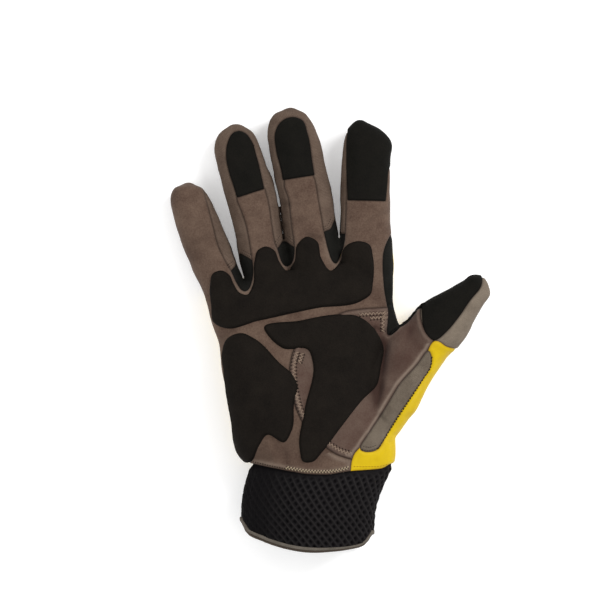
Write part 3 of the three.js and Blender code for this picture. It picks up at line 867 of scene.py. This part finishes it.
SUEDE_LOOK = {
    "nap": 0.9, "seam_colour": (30, 23, 19), "seam_width": 1.0, "bump": 0.4, "roughness": 0.93,
    "specular": 0.06, "sheen": 0.06,
}
PAD_LOOK = {"nap_share": 0.55, "bump": 0.4, "specular": 0.06}
NEAR_BLACK = (8, 7, 6)
suede = cloth(
    "palm_suede", (60, 44, 37), (100, 83, 71), patch=13, nap_share=0.5, worn_colour=(126, 112, 100),
    crease_colour=(38, 26, 22), **SUEDE_LOOK,
)
thumb_suede = cloth(
    "thumb_suede", (62, 43, 37), (91, 77, 68), patch=17, worn_colour=(124, 110, 98),
    crease_colour=(44, 28, 24), **SUEDE_LOOK,
)
wall_cloth = cloth(
    "wall_cloth", (66, 53, 45), (102, 87, 76), nap_share=0.5, thread=0.7,
    seam_colour=(30, 24, 20), crease_colour=(44, 34, 29), roughness=0.92,
)
grey_cloth = cloth(
    "grey_cloth", (72, 63, 54), (110, 100, 88), patch=9, nap_share=0.5, thread=0.7,
    seam_colour=(36, 30, 26), worn_colour=(142, 129, 115), roughness=0.9, specular=0.1,
)
yellow_cloth = cloth(
    "yellow_cloth", (172, 143, 2), (199, 171, 6), patch=12, nap=0.6, nap_share=0.25, thread=0.6,
    seam_colour=(150, 112, 6), seam_width=1.0, bump=0.15, roughness=0.6, specular=0.15,
)
black_stretch = cloth(
    "black_stretch", (11, 11, 9), (23, 22, 19), patch=8, nap=0.6, thread=0.8,
    seam_colour=NEAR_BLACK, roughness=0.8,
)
black_pad = cloth("black_pad", (12, 9, 7), (27, 23, 19), seam_colour=NEAR_BLACK, **PAD_LOOK)
black_patch = cloth("black_patch", (9, 9, 7), (22, 20, 17), seam_colour=(7, 6, 5), **PAD_LOOK)
black_mesh = cloth(
    "black_mesh", (15, 13, 14), (24, 22, 23), patch=9, nap=0.5, nap_share=0.5, thread=0.5,
    worn_colour=(40, 38, 37), crease_colour=(7, 6, 7), dimple_shade_colour=(7, 6, 7),
    roughness=0.75, specular=0.05,
)
tape_cloth = cloth(
    "binding_tape", (72, 67, 60), (106, 99, 91), patch=6, nap=0.5, thread=0.5,
    crease_colour=(72, 62, 53), bump=0.35, roughness=0.9,
)
dark_thread_and_hole_shade = sewing_thread("dark_thread_and_hole_shade", (26, 20, 17), (44, 36, 31), specular=0.08)
suede_thread = sewing_thread("suede_thread", (110, 94, 81), (138, 120, 104))
hem_thread = sewing_thread("hem_thread", (150, 134, 110), (184, 168, 142))
yellow_thread = sewing_thread("yellow_thread", (112, 78, 8), (150, 108, 14), roughness=0.7)


# The whole form of the glove as one skin
GAP_TOP = 40
FOLD_TAPER = 3
FOLD_START = 0.25
CLOTH_WAVES = [(11, 0.45), (4.5, 0.16)]


def fold_height(x, y, folds):
    """Ridges and valleys of the cloth along short lines, fading at their ends."""
    height = np.zeros(len(x))
    for start_x, start_y, end_x, end_y, width, tall in folds:
        along_x, along_y = end_x - start_x, end_y - start_y
        length = math.hypot(along_x, along_y)
        share = ((x - start_x) * along_x + (y - start_y) * along_y) / length**2
        aside = ((x - start_x) * along_y - (y - start_y) * along_x) / length
        fade = np.clip(np.minimum(share, 1 - share) * FOLD_TAPER + FOLD_START, 0, 1)
        height += tall * bell(aside, width=width) * eased(fade)
    return height


def gap_cutter(name, bottom, outline):
    """A finely faced upright wedge that keeps two fingers apart above a height."""
    corners = np.array(outline + outline[:1], float)
    along = lengths_along(corners)
    places = np.linspace(0, along[-1], math.ceil(along[-1] / VOXEL), endpoint=False)
    flat = np.column_stack([np.interp(places, along, corners[:, axis]) for axis in (0, 1)])
    heights = np.arange(bottom, GAP_TOP, VOXEL)
    return skin(name, np.array([np.column_stack([flat, np.full(len(flat), z)]) for z in heights]))


def join_to(piece, *others):
    only(piece)
    for other in others:
        other.select_set(True)
    bpy.ops.object.join()


def wave_height(points):
    """Small uneven waves all over the cloth."""
    return np.array([
        sum(tall * noise.noise(Vector(point) / size) for size, tall in CLOTH_WAVES) for point in points
    ])


def make_form():
    digits = {"pinky": PINKY, "ring": RING, "middle": MIDDLE, "index": INDEX, "thumb": THUMB}
    fingers = [digit(name, table) for name, table in digits.items()]
    piece = skin("form", section_rings(fine_rows(TRUNK), full_turn(TRUNK_SIDES)))
    join_to(piece, *fingers)
    apply(piece, "REMESH", mode="VOXEL", voxel_size=VOXEL)
    gaps = [gap_cutter(name, *gap) for name, gap in FORK_GAPS.items()]
    boolean(piece, "DIFFERENCE", *gaps)
    discard(*gaps)
    apply(piece, "SMOOTH", factor=SKIN_SMOOTHING_SHARE, iterations=SKIN_SMOOTHING)
    points = points_of(piece)
    normals = points_of(piece, "normal")
    x, y, _ = points.T
    relief = fold_height(x, y, PALM_FOLDS) * np.clip(normals[:, 2] * 2, 0, 1)
    relief += fold_height(x, y, BACK_FOLDS) * np.clip(-normals[:, 2] * 2, 0, 1)
    points += normals * (relief + wave_height(points))[:, None]
    points[:, 2] = FLAT_SOFTNESS * np.logaddexp(0, points[:, 2] / FLAT_SOFTNESS)
    put(piece, points)
    dress(piece, form_mark)
    piece.data.polygons.foreach_set("material_index", np.zeros(len(piece.data.polygons), int))
    return piece


form = make_form()
form_tree = BVHTree.FromPolygons(
    [Vector(point) for point in points_of(form)], [tuple(face.vertices) for face in form.data.polygons],
)


def form_below(x, y):
    """Where a ray from above meets the form, and the form's normal there."""
    hit, normal, _, _ = form_tree.ray_cast(Vector((x, y, TALL)), Vector((0, 0, -1)))
    return hit, normal


# Cutters
hem_cut = prism("hem_cut", wristward(HEM_LINE))
climb = EDGE_SEAM_HEIGHT + THUMB_SEAM_SLOPE * (REACH - THUMB_SEAM_START)
seam_profile = [
    (-REACH, EDGE_SEAM_HEIGHT), (THUMB_SEAM_START, EDGE_SEAM_HEIGHT), (REACH, climb),
    (REACH, REACH), (-REACH, REACH),
]
seam_cut = block("seam_cut", [(x, -REACH, z) for x, z in seam_profile], (0, 2 * REACH, 0))
knuckle_cut = prism("knuckle_cut", wristward(KNUCKLE_LINE))
wall_cut = prism("wall_cut", wristward(KNUCKLE_LINE, -SIDE_WALL_TUCK))
palm_cut = prism("palm_cut", rounded(PALM_OUTLINE))
thumb_cut = prism("thumb_cut", rounded(THUMB_PANEL_OUTLINE))
yellow_cut = prism("yellow_cut", rounded(YELLOW_OUTLINE))
strip_cut = prism("strip_cut", rounded(SIDE_STRIP_OUTLINE))
thumb_tip_cut = prism("thumb_tip_cut", rounded(THUMB_TIP_OUTLINE))
saddle_cut = prism("saddle_cut", rounded(SADDLE_OUTLINE))
cap_cut = prism("cap_cut", rounded(THUMB_CAP_OUTLINE))
tip_cuts = {
    "ring_tip_pad": prism("ring_tip_cut", cornered(RING_TIP)),
    "middle_tip_pad": prism("middle_tip_cut", cornered(MIDDLE_TIP)),
    "index_tip_pad": prism("index_tip_cut", cornered(INDEX_TIP)),
}
web_cuts = {
    name: prism(f"{name}_cut", rounded(outline, WEB_CORNER)) for name, outline in WEB_OUTLINES.items()
}
pinky_split = prism("pinky_split", thumbward(PINKY_RING_SPLIT))
ring_split = prism("ring_split", thumbward(RING_MIDDLE_SPLIT))
middle_split = prism("middle_split", thumbward(MIDDLE_INDEX_SPLIT))

# The hand without the cuff, and its palm and back halves
hand = boolean(twin(form, "hand"), "DIFFERENCE", hem_cut)
palm_half = boolean(twin(hand, "palm_half"), "INTERSECT", seam_cut)
back_half = boolean(twin(hand, "back_half"), "DIFFERENCE", seam_cut)

upper_cap = boolean(twin(cap_cut, "upper_cap"), "INTERSECT", seam_cut)
upper_strip = boolean(twin(strip_cut, "upper_strip"), "INTERSECT", seam_cut)
hand_back_cut = boolean(twin(knuckle_cut, "hand_back_cut"), "DIFFERENCE", seam_cut)
boolean(hand_back_cut, "UNION", yellow_cut)
thumb_cuts = boolean(twin(yellow_cut, "thumb_cuts"), "UNION", strip_cut, thumb_tip_cut, saddle_cut)
palm_cuts = boolean(twin(thumb_cuts, "palm_cuts"), "UNION", thumb_cut, *tip_cuts.values())
taken = boolean(twin(palm_cuts, "taken"), "UNION", palm_cut)
walls_taken = boolean(twin(taken, "walls_taken"), "UNION", *web_cuts.values(), wall_cut)

# Cloth pieces
def sewn(node, name, material, slot, base, inside, outside=(), **sewing):
    settle(sew(panel(name, base, inside, outside), **sewing), material, slot, node)


PATCH_EDGE = {"lift": 0.35, "drop": 0.6, "width": 1.3}

sewn("palm_panel", "palm", suede, "palm_suede", palm_half, [palm_cut], [palm_cuts], worn=worn_palm)
sewn(
    "thumb_panel", "thumb_overlay", thumb_suede, "palm_suede", palm_half, [thumb_cut], [thumb_cuts],
    lift=0.3, ridge=0.4, worn=worn_edge,
)
sewn("thumb_side_strip", "side_strip", grey_cloth, "grey_cloth", palm_half, [strip_cut], lift=0.2)
sewn(
    "thumb_back_tip", "thumb_back", grey_cloth, "grey_cloth", hand, [thumb_tip_cut], [upper_cap],
    worn=worn_all,
)
sewn(
    "back_panel", "hand_back", yellow_cloth, "yellow_cloth", hand, [hand_back_cut],
    [upper_strip, thumb_tip_cut],
)
sewn(
    "index_saddle", "saddle", black_stretch, "black_stretch", palm_half, [saddle_cut], [thumb_tip_cut],
    lift=-0.2,
)
for node, cutter in web_cuts.items():
    sewn(
        node, node.replace("web", "gusset"), black_stretch, "black_stretch", palm_half, [cutter], [taken],
        lift=-0.4, drop=0.3,
    )
FINGERS = {
    "pinky": ([], [pinky_split]),
    "ring": ([pinky_split], [ring_split]),
    "middle": ([ring_split], [middle_split]),
    "index": ([middle_split], []),
}
for finger, (inside, outside) in FINGERS.items():
    sewn(
        f"{finger}_side_wall", f"{finger}_walls", wall_cloth, "grey_cloth", palm_half, inside,
        [walls_taken, *outside], lift=-0.3, drop=0.35,
    )
    sewn(
        f"{finger}_back", f"{finger}_back_cloth", wall_cloth, "grey_cloth", back_half, inside,
        [knuckle_cut, thumb_tip_cut, *outside],
    )
for node, cutter in tip_cuts.items():
    sewn(node, node.replace("pad", "patch"), black_patch, "black_pad", palm_half, [cutter], **PATCH_EDGE)
sewn("thumb_cap", "thumb_tip_cap", black_patch, "black_pad", palm_half, [cap_cut], **PATCH_EDGE)

# Raised pads
RIM_WIDTH = 2.0
RIM_HEIGHT = 1.9
CROWN = 0.8
CROWN_REACH = 9.0
PAD_SINK = 0.3
RIM_FINE = 0.6
RIM_FINEST = 0.9


def make_pad(name, outline, node):
    """A firm pad with a rounded rim, lying on the palm."""
    piece = panel(name, palm_half, [prism(f"{name}_cut", smooth(outline))])
    refine(piece, RIM_WIDTH + RIM_FINE)
    refine(piece, RIM_FINEST)
    base = points_of(piece)
    normals = points_of(piece, "normal")
    distance = edge_distance(piece)
    under = twin(piece, f"{name}_under")
    put(under, base - normals * PAD_SINK * (distance > PAD_SINK)[:, None])
    rise = RIM_HEIGHT * round_rise(distance, RIM_WIDTH) + CROWN * (1 - np.exp(-distance / CROWN_REACH))
    put(piece, base + normals * rise[:, None])
    keep_attribute(piece, "seam", np.minimum(distance, SEAM_FADE))
    keep_attribute(under, "seam", np.zeros(len(distance)))
    with editing(under):
        bpy.ops.mesh.flip_normals()
    join_to(piece, under)
    with editing(piece):
        bpy.ops.mesh.remove_doubles(threshold=WELD)
    settle(piece, black_pad, "black_pad", node)


make_pad("knuckle_cushion", KNUCKLE_PAD, "knuckle_pad")
make_pad("thenar_cushion", THENAR_PAD, "thenar_pad")
make_pad("heel_cushion", HEEL_PAD, "heel_pad")

# Cuff of spacer mesh
CUFF_SIDES = 440
CUFF_ROWS = 104
LINING_STEP = 4
CUFF_MIDDLE = -100.0
PALM_SIDE_FROM = -0.2
THUMB_SIDE_SLOPE = 1.5
ANGLE_STEPS = 4001
EDGE_ROUNDS = 12
CUFF_TUCK = 4
CUFF_RECESS = 0.2
CUFF_INSET = 1.7
PALM_EDGE_SHORT = 1.6
THUMB_EDGE_SHORT = 0.9
BACK_EDGE_LONG = 0.8
TAPE_NARROWER = 1.1
TAPE_NARROWER_AT_THUMB = 0.6
DIMPLE_PITCH = 4.5
DIMPLE_ROW = 2.5
DIMPLE_STAGGER = 0.5
DIMPLE_SLANT = 0.125
DIMPLE_DEPTH = 1.1
DIMPLE_LONG = 1.0
DIMPLE_SHORT = 0.72
DIMPLE_LEAN = (0.6, 0.8)
KNIT_RIDGE = 0.15
KNIT_RIDGE_WIDTH = 0.16
KNIT_TWIST = 0.3
RIBBED_PART = {"start": -24, "fade": 16}
DIMPLES_LOST = 0.7
RIDGES_LOST = 0.8
RIB_PITCH = 1.6
RIB_HEIGHT = 0.16
SHADED_PART = {"start": -12, "fade": 28}
SHADE = 1.05
LOOSE_RIPPLE = 0.3
RIPPLE_RATES = (0.8, 0.23)
RIPPLE_SWAY = 1.5

wrist_rows = fine_rows(TRUNK)
hem_curve = curve_through(HEM_LINE[1:-1], 1.0)
mouth_curve = curve_through(MOUTH_LINE[1:-1], 1.0)


def even_angles(count):
    """Angles round the wrist whose places on its section lie about evenly apart."""
    dense = np.linspace(0, 2 * math.pi, ANGLE_STEPS)
    along = lengths_along(section_rings([TRUNK[2]], dense)[0])
    return np.interp(np.arange(count) / count * along[-1], along, dense), along[-1]


def wrist_points(angles, y, offset, lowest=0):
    """Places on the wrist's section at each angle, at that angle's own y, and not below a height."""
    columns = [np.interp(y, wrist_rows[:, 1], wrist_rows[:, column]) for column in (0, 2, 4, 5)]
    rows = np.stack([columns[0], y, columns[1], y, columns[2], columns[3]], axis=1)
    offset = np.broadcast_to(offset, len(y))
    points = np.array([
        section_rings([row], np.array([angle]), out)[0, 0] for row, angle, out in zip(rows, angles, offset)
    ])
    return np.stack([points[:, 0], y, np.maximum(points[:, 2], lowest)], axis=1)


def edge_y(angles, curve):
    """Where a line across the wrist meets it at each angle."""
    y = np.full(len(angles), curve[:, 1].mean())
    for _ in range(EDGE_ROUNDS):
        y = 0.5 * y + 0.5 * np.interp(wrist_points(angles, y, 0.0)[:, 0], curve[:, 0], curve[:, 1])
    return y


def towards_thumb(angles):
    return np.clip(np.cos(angles) * THUMB_SIDE_SLOPE, 0, 1)


def mouth_y(angles):
    """The cuff's mouth, where the palm side's edge lies a little short of the back's."""
    palm_side = np.clip(np.sin(angles) * 2, -1, 1)
    short = PALM_EDGE_SHORT + (THUMB_EDGE_SHORT - PALM_EDGE_SHORT) * towards_thumb(angles)
    return edge_y(angles, mouth_curve) + np.where(palm_side > 0, short, BACK_EDGE_LONG) * palm_side


def binding_width(angles):
    """The tape's width, which is less on the palm side, and least at the thumb's end of it."""
    palm_side = np.clip(np.sin(angles) * 2, 0, 1)
    return BINDING_WIDTH - palm_side * (TAPE_NARROWER + TAPE_NARROWER_AT_THUMB * towards_thumb(angles))


def keep_ring_values(piece, rings, **named):
    """Keeps values for each of the points that a skin was made through."""
    tree = search_tree(np.reshape(rings, (-1, 3)))
    nearest = [tree.find(point)[1] for point in points_of(piece)]
    for name, values in named.items():
        keep_attribute(piece, name, np.ravel(values)[nearest])


def knit(across, height, direction):
    """The knit's dimples in staggered rows, and the threads that cross between them."""
    row = np.rint(height / DIMPLE_ROW)
    aside = across + row * DIMPLE_STAGGER * DIMPLE_PITCH * direction
    aside -= DIMPLE_PITCH * np.rint(aside / DIMPLE_PITCH)
    up = height - row * DIMPLE_ROW
    level = aside * direction
    sine, cosine = DIMPLE_LEAN
    long = sine * level - cosine * up
    short = cosine * level + sine * up
    dimple = bell(long, width=DIMPLE_LONG) * bell(short, width=DIMPLE_SHORT)
    between = np.abs(level) * 2 / DIMPLE_PITCH + np.abs(up) / DIMPLE_ROW
    twist = 1 - KNIT_TWIST + KNIT_TWIST * np.tanh(3 * level * up)
    return dimple, bell(between, 1, KNIT_RIDGE_WIDTH) * twist


def left_part(x, start, fade):
    """0 to the right of a start, and 1 from a fade's width to the left of it."""
    return np.clip((start - x) / fade, 0, 1)


def make_cuff():
    angles, girth = even_angles(CUFF_SIDES)
    top = edge_y(angles, hem_curve)
    bottom = mouth_y(angles) + binding_width(angles) * 0.5
    across = np.arange(CUFF_SIDES) / CUFF_SIDES * round(girth / DIMPLE_PITCH) * DIMPLE_PITCH
    palm_x = wrist_points(angles, np.full(CUFF_SIDES, CUFF_MIDDLE), 0.0)[:, 0]
    palm_side = np.sin(angles) > PALM_SIDE_FROM
    ribbed = left_part(palm_x, **RIBBED_PART) * palm_side
    shaded = SHADE * left_part(palm_x, **SHADED_PART) * palm_side
    direction = np.where(np.sin(angles) > 0, -1, 1)
    rings, inner, dimples, ridges = [], [], [], []
    for share in np.arange(CUFF_ROWS + 1) / CUFF_ROWS:
        y = bottom + (top + CUFF_TUCK - bottom) * share
        under_hem = np.clip((y - top + CUFF_TUCK) / CUFF_TUCK, 0, 1)
        inset = -CUFF_RECESS - (CUFF_INSET - CUFF_RECESS) * eased(under_hem)
        dimple, ridge = knit(across, y + DIMPLE_SLANT * palm_x, direction)
        dimple *= (1 - under_hem) * (1 - DIMPLES_LOST * ribbed)
        ridge *= (1 - under_hem) * (1 - RIDGES_LOST * ribbed)
        ripple = LOOSE_RIPPLE * np.sin(across * RIPPLE_RATES[0] + RIPPLE_SWAY * np.sin(y / 9))
        ripple *= np.sin(across * RIPPLE_RATES[1] + 1)
        ripple += RIB_HEIGHT * ribbed * np.sin(across * 2 * math.pi / RIB_PITCH + np.sin(y / 5))
        relief = ripple + KNIT_RIDGE * ridge - DIMPLE_DEPTH * dimple
        rings.append(wrist_points(angles, y, inset + relief))
        inner.append(wrist_points(angles, y, inset - FABRIC)[::LINING_STEP])
        dimples.append(dimple)
        ridges.append(ridge)
    piece = skin("cuff_mesh", np.array(rings), filled=False)
    lining = skin("cuff_lining", np.array(inner)[::LINING_STEP], filled=False)
    with editing(lining):
        bpy.ops.mesh.flip_normals()
    keep_ring_values(piece, rings, dimple=dimples, worn=ridges, crease=[shaded] * len(rings))
    join_to(piece, lining)
    with editing(piece, "DESELECT"):
        bpy.ops.mesh.select_non_manifold(extend=False)
        bpy.ops.mesh.bridge_edge_loops(type="PAIRS")
    return piece


settle(make_cuff(), black_mesh, "black_mesh", "cuff")

# Tape bound over the cuff's edge, with its end lapped over its start
TAPE_SIDES = 24
TAPE_STEPS = 420
TAPE_SQUARENESS = 3.2
TAPE_GROOVE = 0.22
GROOVE_PLACE = 0.15
GROOVE_WIDTH = 0.11
TAPE_PUCKER = 0.1
PUCKER_PITCH = 3.2
INNER_SHADE = 1.2
PALM_SIDE_SHADE = 0.3
LAP_ANGLE = math.radians(168)
LAP_LENGTH = math.radians(9)
LAP_START = math.radians(0.7)
LAP_RISE = 0.55


def make_binding():
    angles, girth = even_angles(TAPE_STEPS)
    width = binding_width(angles)
    y = mouth_y(angles) + width / 2
    centres = wrist_points(angles, y, -FABRIC / 2, lowest=-TALL)
    forward = unit(np.roll(centres, -1, axis=0) - np.roll(centres, 1, axis=0))
    out = wrist_points(angles, y, 1.0, lowest=-TALL) - centres
    out = unit(out - (out * forward).sum(axis=1, keepdims=True) * forward)
    side = np.cross(out, forward)
    turn = full_turn(TAPE_SIDES)
    wide = squared_off(np.cos(turn), TAPE_SQUARENESS) / 2
    thick = squared_off(np.sin(turn), TAPE_SQUARENESS) * (FABRIC / 2 + BINDING_RISE)
    thick_grooved = thick - TAPE_GROOVE * bell(wide, GROOVE_PLACE, GROOVE_WIDTH) * (np.sin(turn) > 0)
    lap = np.clip((angles - LAP_ANGLE) / LAP_START, 0, 1) * (angles < LAP_ANGLE + LAP_LENGTH)
    puckers = round(girth / PUCKER_PITCH)
    rise = lap * LAP_RISE + TAPE_PUCKER * np.sin(full_turn(TAPE_STEPS) * puckers)
    grown = thick_grooved[None, :] + rise[:, None] * (thick > 0)[None, :]
    spread = wide[None, :] * width[:, None]
    rings = centres[:, None] + side[:, None] * spread[:, :, None] + out[:, None] * grown[:, :, None]
    rings[:, :, 2] = np.maximum(rings[:, :, 2], 0)
    piece = skin("cuff_tape", np.concatenate([rings, rings[:1]]), filled=False)
    # Painted shade on the tape's inner face, strongest on the back side
    shaded_side = np.where(np.sin(angles) < 0, 1, PALM_SIDE_SHADE)
    inward = np.clip(INNER_SHADE - np.sin(turn) * 2, 0, 1) * shaded_side[:, None]
    keep_ring_values(piece, rings, crease=inward)
    return piece


settle(make_binding(), tape_cloth, "binding_tape", "cuff_binding")

# Threads
STITCH_SIDES = 6
STITCH_RINGS = 5
EVERY_ONE = (0, 1)


def in_order(points, faces):
    """Points and faces listed by place, because a new sphere's own order isn't the same each time."""
    order = np.lexsort(np.round(points, 3).T)
    rank = np.argsort(order)
    corners = [rank[list(face.vertices)].tolist() for face in faces]
    starts = [face.index(min(face)) for face in corners]
    return points[order], sorted(face[start:] + face[:start] for face, start in zip(corners, starts))


def stitches(name, paths, thread, slot, pitch, length, thick, above, lean=0.0, turns=EVERY_ONE):
    """Rows of thread stitches lying on the form along paths in plan, every one or every other one."""
    add = bpy.ops.mesh.primitive_uv_sphere_add
    piece = new_piece(name, add, segments=STITCH_SIDES, ring_count=STITCH_RINGS, radius=1)
    shape, faces = in_order(points_of(piece)[:, [2, 0, 1]], piece.data.polygons)
    shape = shape * (length / 2, thick / 2, thick / 2)
    points = []
    for path in paths:
        row = curve_through(path, pitch)
        for place, (x, y) in enumerate(row):
            hit, normal = form_below(x, y)
            if hit is None or place % 2 not in turns:
                continue
            before = row[max(0, place - 1)]
            after = row[min(len(row) - 1, place + 1)]
            along = Vector((*(after - before), 0)).normalized()
            across = normal.cross(along).normalized()
            along = across.cross(normal)
            turn = math.radians(lean) * (1 if place % 2 else -1)
            heading = along * math.cos(turn) + across * math.sin(turn)
            axes = np.array((heading, normal.cross(heading), normal))
            points.append(shape @ axes + np.array(hit + normal * above))
    count = len(shape)
    mesh = bpy.data.meshes.new(name)
    all_faces = [[corner + count * copy for corner in face] for copy in range(len(points)) for face in faces]
    mesh.from_pydata(np.concatenate(points).tolist(), [], all_faces)
    piece.data = mesh
    settle(piece, thread, slot)


def zigzag(name, paths, band):
    """Bands of light zigzag thread on the suede, between rows of dark beads painted as the shade in the
    needle holes.
    """
    middles = [beside(path, band / 2) for path in paths]
    stitches(
        name, middles, suede_thread, "palm_suede", pitch=1.0, length=band, thick=0.55, above=0.5, lean=58,
    )
    holes = [beside(path, aside) for path in paths for aside in (0, band)]
    stitches(
        f"{name}_holes", holes, dark_thread_and_hole_shade, "palm_suede", pitch=2.0, length=0.9, thick=0.85, above=0.3,
    )


HEM_STITCH_START = [(-43.5, -74), (-34, -76.2), (-26, -77.7)]
HEM_STITCH_LINE = [(-25, -77.7), (-14.5, -79.3), (-2, -79.7), (4, -79), (9.5, -77.6)]
HEM_STITCH_PITCH = 0.85
YELLOW_STITCH_LINE = [(13, -76.6), (20, -76.7), (27, -76.5), (31, -75.6)]
OVERLAY_EDGE = [(-20.4, -12.5), (-21.8, -17), (-22.3, -22.7), (-21.5, -32), (-19.2, -42.9), (-15.6, -51)]
OVERLAY_FOOT = [(-1.6, -64.9), (1.5, -67), (4.3, -68.6), (8.3, -70), (11, -70.6)]
OVERLAY_TOP = [(16, 9.4), (22, 9.8), (28, 10.1), (31, 10.1)]
OVERLAY_SIDE = [(30.9, 9.4), (30.4, 4), (30.4, -1)]
STRIP_EDGE = [
    (56.2, -15.8), (55.6, -20.9), (51.7, -27.2), (44.3, -38.6), (37.3, -49.2), (31.3, -58.7), (26.4, -66.4),
]
STRIP_FOOT = [[(17.5, -67.2), (21, -67.7), (25.5, -66.4)], [(18.2, -65.4), (21.3, -65.9), (24.6, -64.8)]]
GUSSET_ENDS = [
    [(-57.4, 34.8), (-54.2, 37.2)], [(-50.8, 43.4), (-45.8, 41)], [(-30.6, 47.6), (-27.6, 51.6)],
    [(-25.2, 51.6), (-21.2, 48)], [(-5, 55.8), (-1, 57.6), (1, 61)],
]
GUSSET_ROWS = (0, 1.3)

stitches(
    "hem_start_stitches", [HEM_STITCH_START], dark_thread_and_hole_shade, "palm_suede", pitch=1.4, length=0.8, thick=0.75,
    above=0.2,
)
for turn, line in enumerate((HEM_STITCH_LINE, beside(HEM_STITCH_LINE, 0.8))):
    stitches(
        f"hem_stitches_{turn}", [line], hem_thread, "palm_suede", pitch=HEM_STITCH_PITCH, length=1.25,
        thick=0.6, above=0.4, lean=50, turns=(turn,),
    )
    # Dark beads painted as the shade in the needle holes between the stitches
    stitches(
        f"hem_holes_{turn}", [line], dark_thread_and_hole_shade, "palm_suede", pitch=HEM_STITCH_PITCH, length=0.7,
        thick=0.65, above=0.35, turns=(1 - turn,),
    )
stitches(
    "yellow_hem_stitches", [YELLOW_STITCH_LINE], yellow_thread, "yellow_cloth", pitch=1.7, length=1.1,
    thick=0.45, above=0.1,
)
zigzag("overlay_stitches", [OVERLAY_EDGE], band=2.9)
zigzag("overlay_corner_stitches", [beside(OVERLAY_EDGE[:2], 2.9)], band=2.9)
zigzag("overlay_foot_stitches", [OVERLAY_FOOT], band=2.6)
zigzag("overlay_top_stitches", [beside(OVERLAY_TOP, -2.2), beside(OVERLAY_TOP[1:], -4.6)], band=2.2)
zigzag("overlay_side_stitches", [beside(OVERLAY_SIDE, -2.8)], band=2.6)
stitches(
    "strip_stitches", [STRIP_EDGE], dark_thread_and_hole_shade, "grey_cloth", pitch=1.75, length=1.35, thick=0.75,
    above=0.15, lean=35,
)
stitches(
    "strip_foot_stitches", STRIP_FOOT, dark_thread_and_hole_shade, "grey_cloth", pitch=1.5, length=0.8, thick=0.5,
    above=0.25,
)
stitches(
    "gusset_stitches", [beside(path, aside) for path in GUSSET_ENDS for aside in GUSSET_ROWS], dark_thread_and_hole_shade,
    "grey_cloth", pitch=1.3, length=0.6, thick=0.45, above=-0.25,
)

# Black binding along the edge of the thumb, from the saddle to the cap
EDGE_BINDING_PATH = [
    (33.4, -2.8), (36, -0.8), (39.4, 1.4), (43.4, 4.5), (47.1, 8.7), (50.4, 12.4), (53.2, 14.6),
]
EDGE_BINDING_SIDES = 12
EDGE_BINDING_STEP = 0.6
EDGE_BINDING_RADIUS = 0.95
EDGE_BINDING_PUCKER = 0.1
EDGE_BINDING_WAVE = 1.1
EDGE_BINDING_RISE = 0.5
EDGE_BINDING_TAPER = 3
THINNEST = 0.05


def make_edge_binding():
    centres = []
    for x, y in curve_through(EDGE_BINDING_PATH, EDGE_BINDING_STEP):
        hit, normal = form_below(x, y)
        centres.append(hit + normal * EDGE_BINDING_RISE)
    centres = np.array(centres)
    forward = unit(np.gradient(centres, axis=0))
    side = unit(np.cross(forward, (0, 0, 1)))
    up = np.cross(side, forward)
    turn = full_turn(EDGE_BINDING_SIDES)
    place = np.arange(len(centres))
    ends = np.minimum(place, place[::-1])
    radius = EDGE_BINDING_RADIUS + EDGE_BINDING_PUCKER * np.sin(place * EDGE_BINDING_WAVE)
    radius *= np.sqrt(np.clip((ends + 0.3) / EDGE_BINDING_TAPER, THINNEST, 1))
    around = side[:, None] * np.cos(turn)[None, :, None] + up[:, None] * np.sin(turn)[None, :, None]
    return skin("thumb_edge_binding", centres[:, None] + around * radius[:, None, None])


settle(make_edge_binding(), black_stretch, "black_stretch")

# Floor, light and camera
FLOOR_DROP = 0.3
floor = new_piece("floor", bpy.ops.mesh.primitive_plane_add, size=4, location=(0, 0, -FLOOR_DROP * MM))
floor_material = bpy.data.materials.new("floor")
floor_material.use_nodes = True
FLOOR_LOOK = {
    "Base Color": (0.9, 0.9, 0.9, 1), "Roughness": 0.9, "Specular IOR Level": 0.1,
    "Emission Color": (1, 1, 1, 1), "Emission Strength": 0.22,
}
for name, value in FLOOR_LOOK.items():
    floor_material.node_tree.nodes["Principled BSDF"].inputs[name].default_value = value
floor.data.materials.append(floor_material)

world = bpy.data.worlds.new("studio")
bpy.context.scene.world = world
world.use_nodes = True
background = world.node_tree.nodes["Background"]
background.inputs["Color"].default_value = (1, 1, 1, 1)
background.inputs["Strength"].default_value = 0.85


def area_light(name, place, size, power):
    data = bpy.data.lights.new(name, "AREA")
    data.size = size
    data.energy = power
    lamp = new_object(name, data)
    lamp.location = place
    lamp.rotation_euler = (-Vector(place)).to_track_quat("-Z", "Y").to_euler()


area_light("key", (1.1, 0.9, 1.3), 0.8, 28)
area_light("fill", (-1.2, -0.6, 1.5), 1.4, 12)

# The camera hangs over the glove and looks straight down
CAMERA_HEIGHT = 5.0
PALM_HEIGHT = 0.024
FRAME_WIDTH = 336
VIEW_MIDDLE = (-17.4, 16.5, 0)
SENSOR = 36
camera_data = bpy.data.cameras.new("camera")
camera_data.sensor_width = SENSOR
camera_data.lens = SENSOR * (CAMERA_HEIGHT - PALM_HEIGHT) / (FRAME_WIDTH * MM)
camera = new_object("camera", camera_data)
aim = (np.array(VIEW_MIDDLE) + SHIFT) * MM
camera.location = (aim[0], aim[1], CAMERA_HEIGHT)
bpy.context.scene.camera = camera
bpy.context.scene.view_settings.view_transform = "Standard"

# Shaping aids go
helpers = [piece for piece in bpy.data.objects if piece.type == "MESH" and piece.data.materials]
discard(*[piece for piece in helpers if piece.data.materials[0] in (cut_mark, form_mark)])
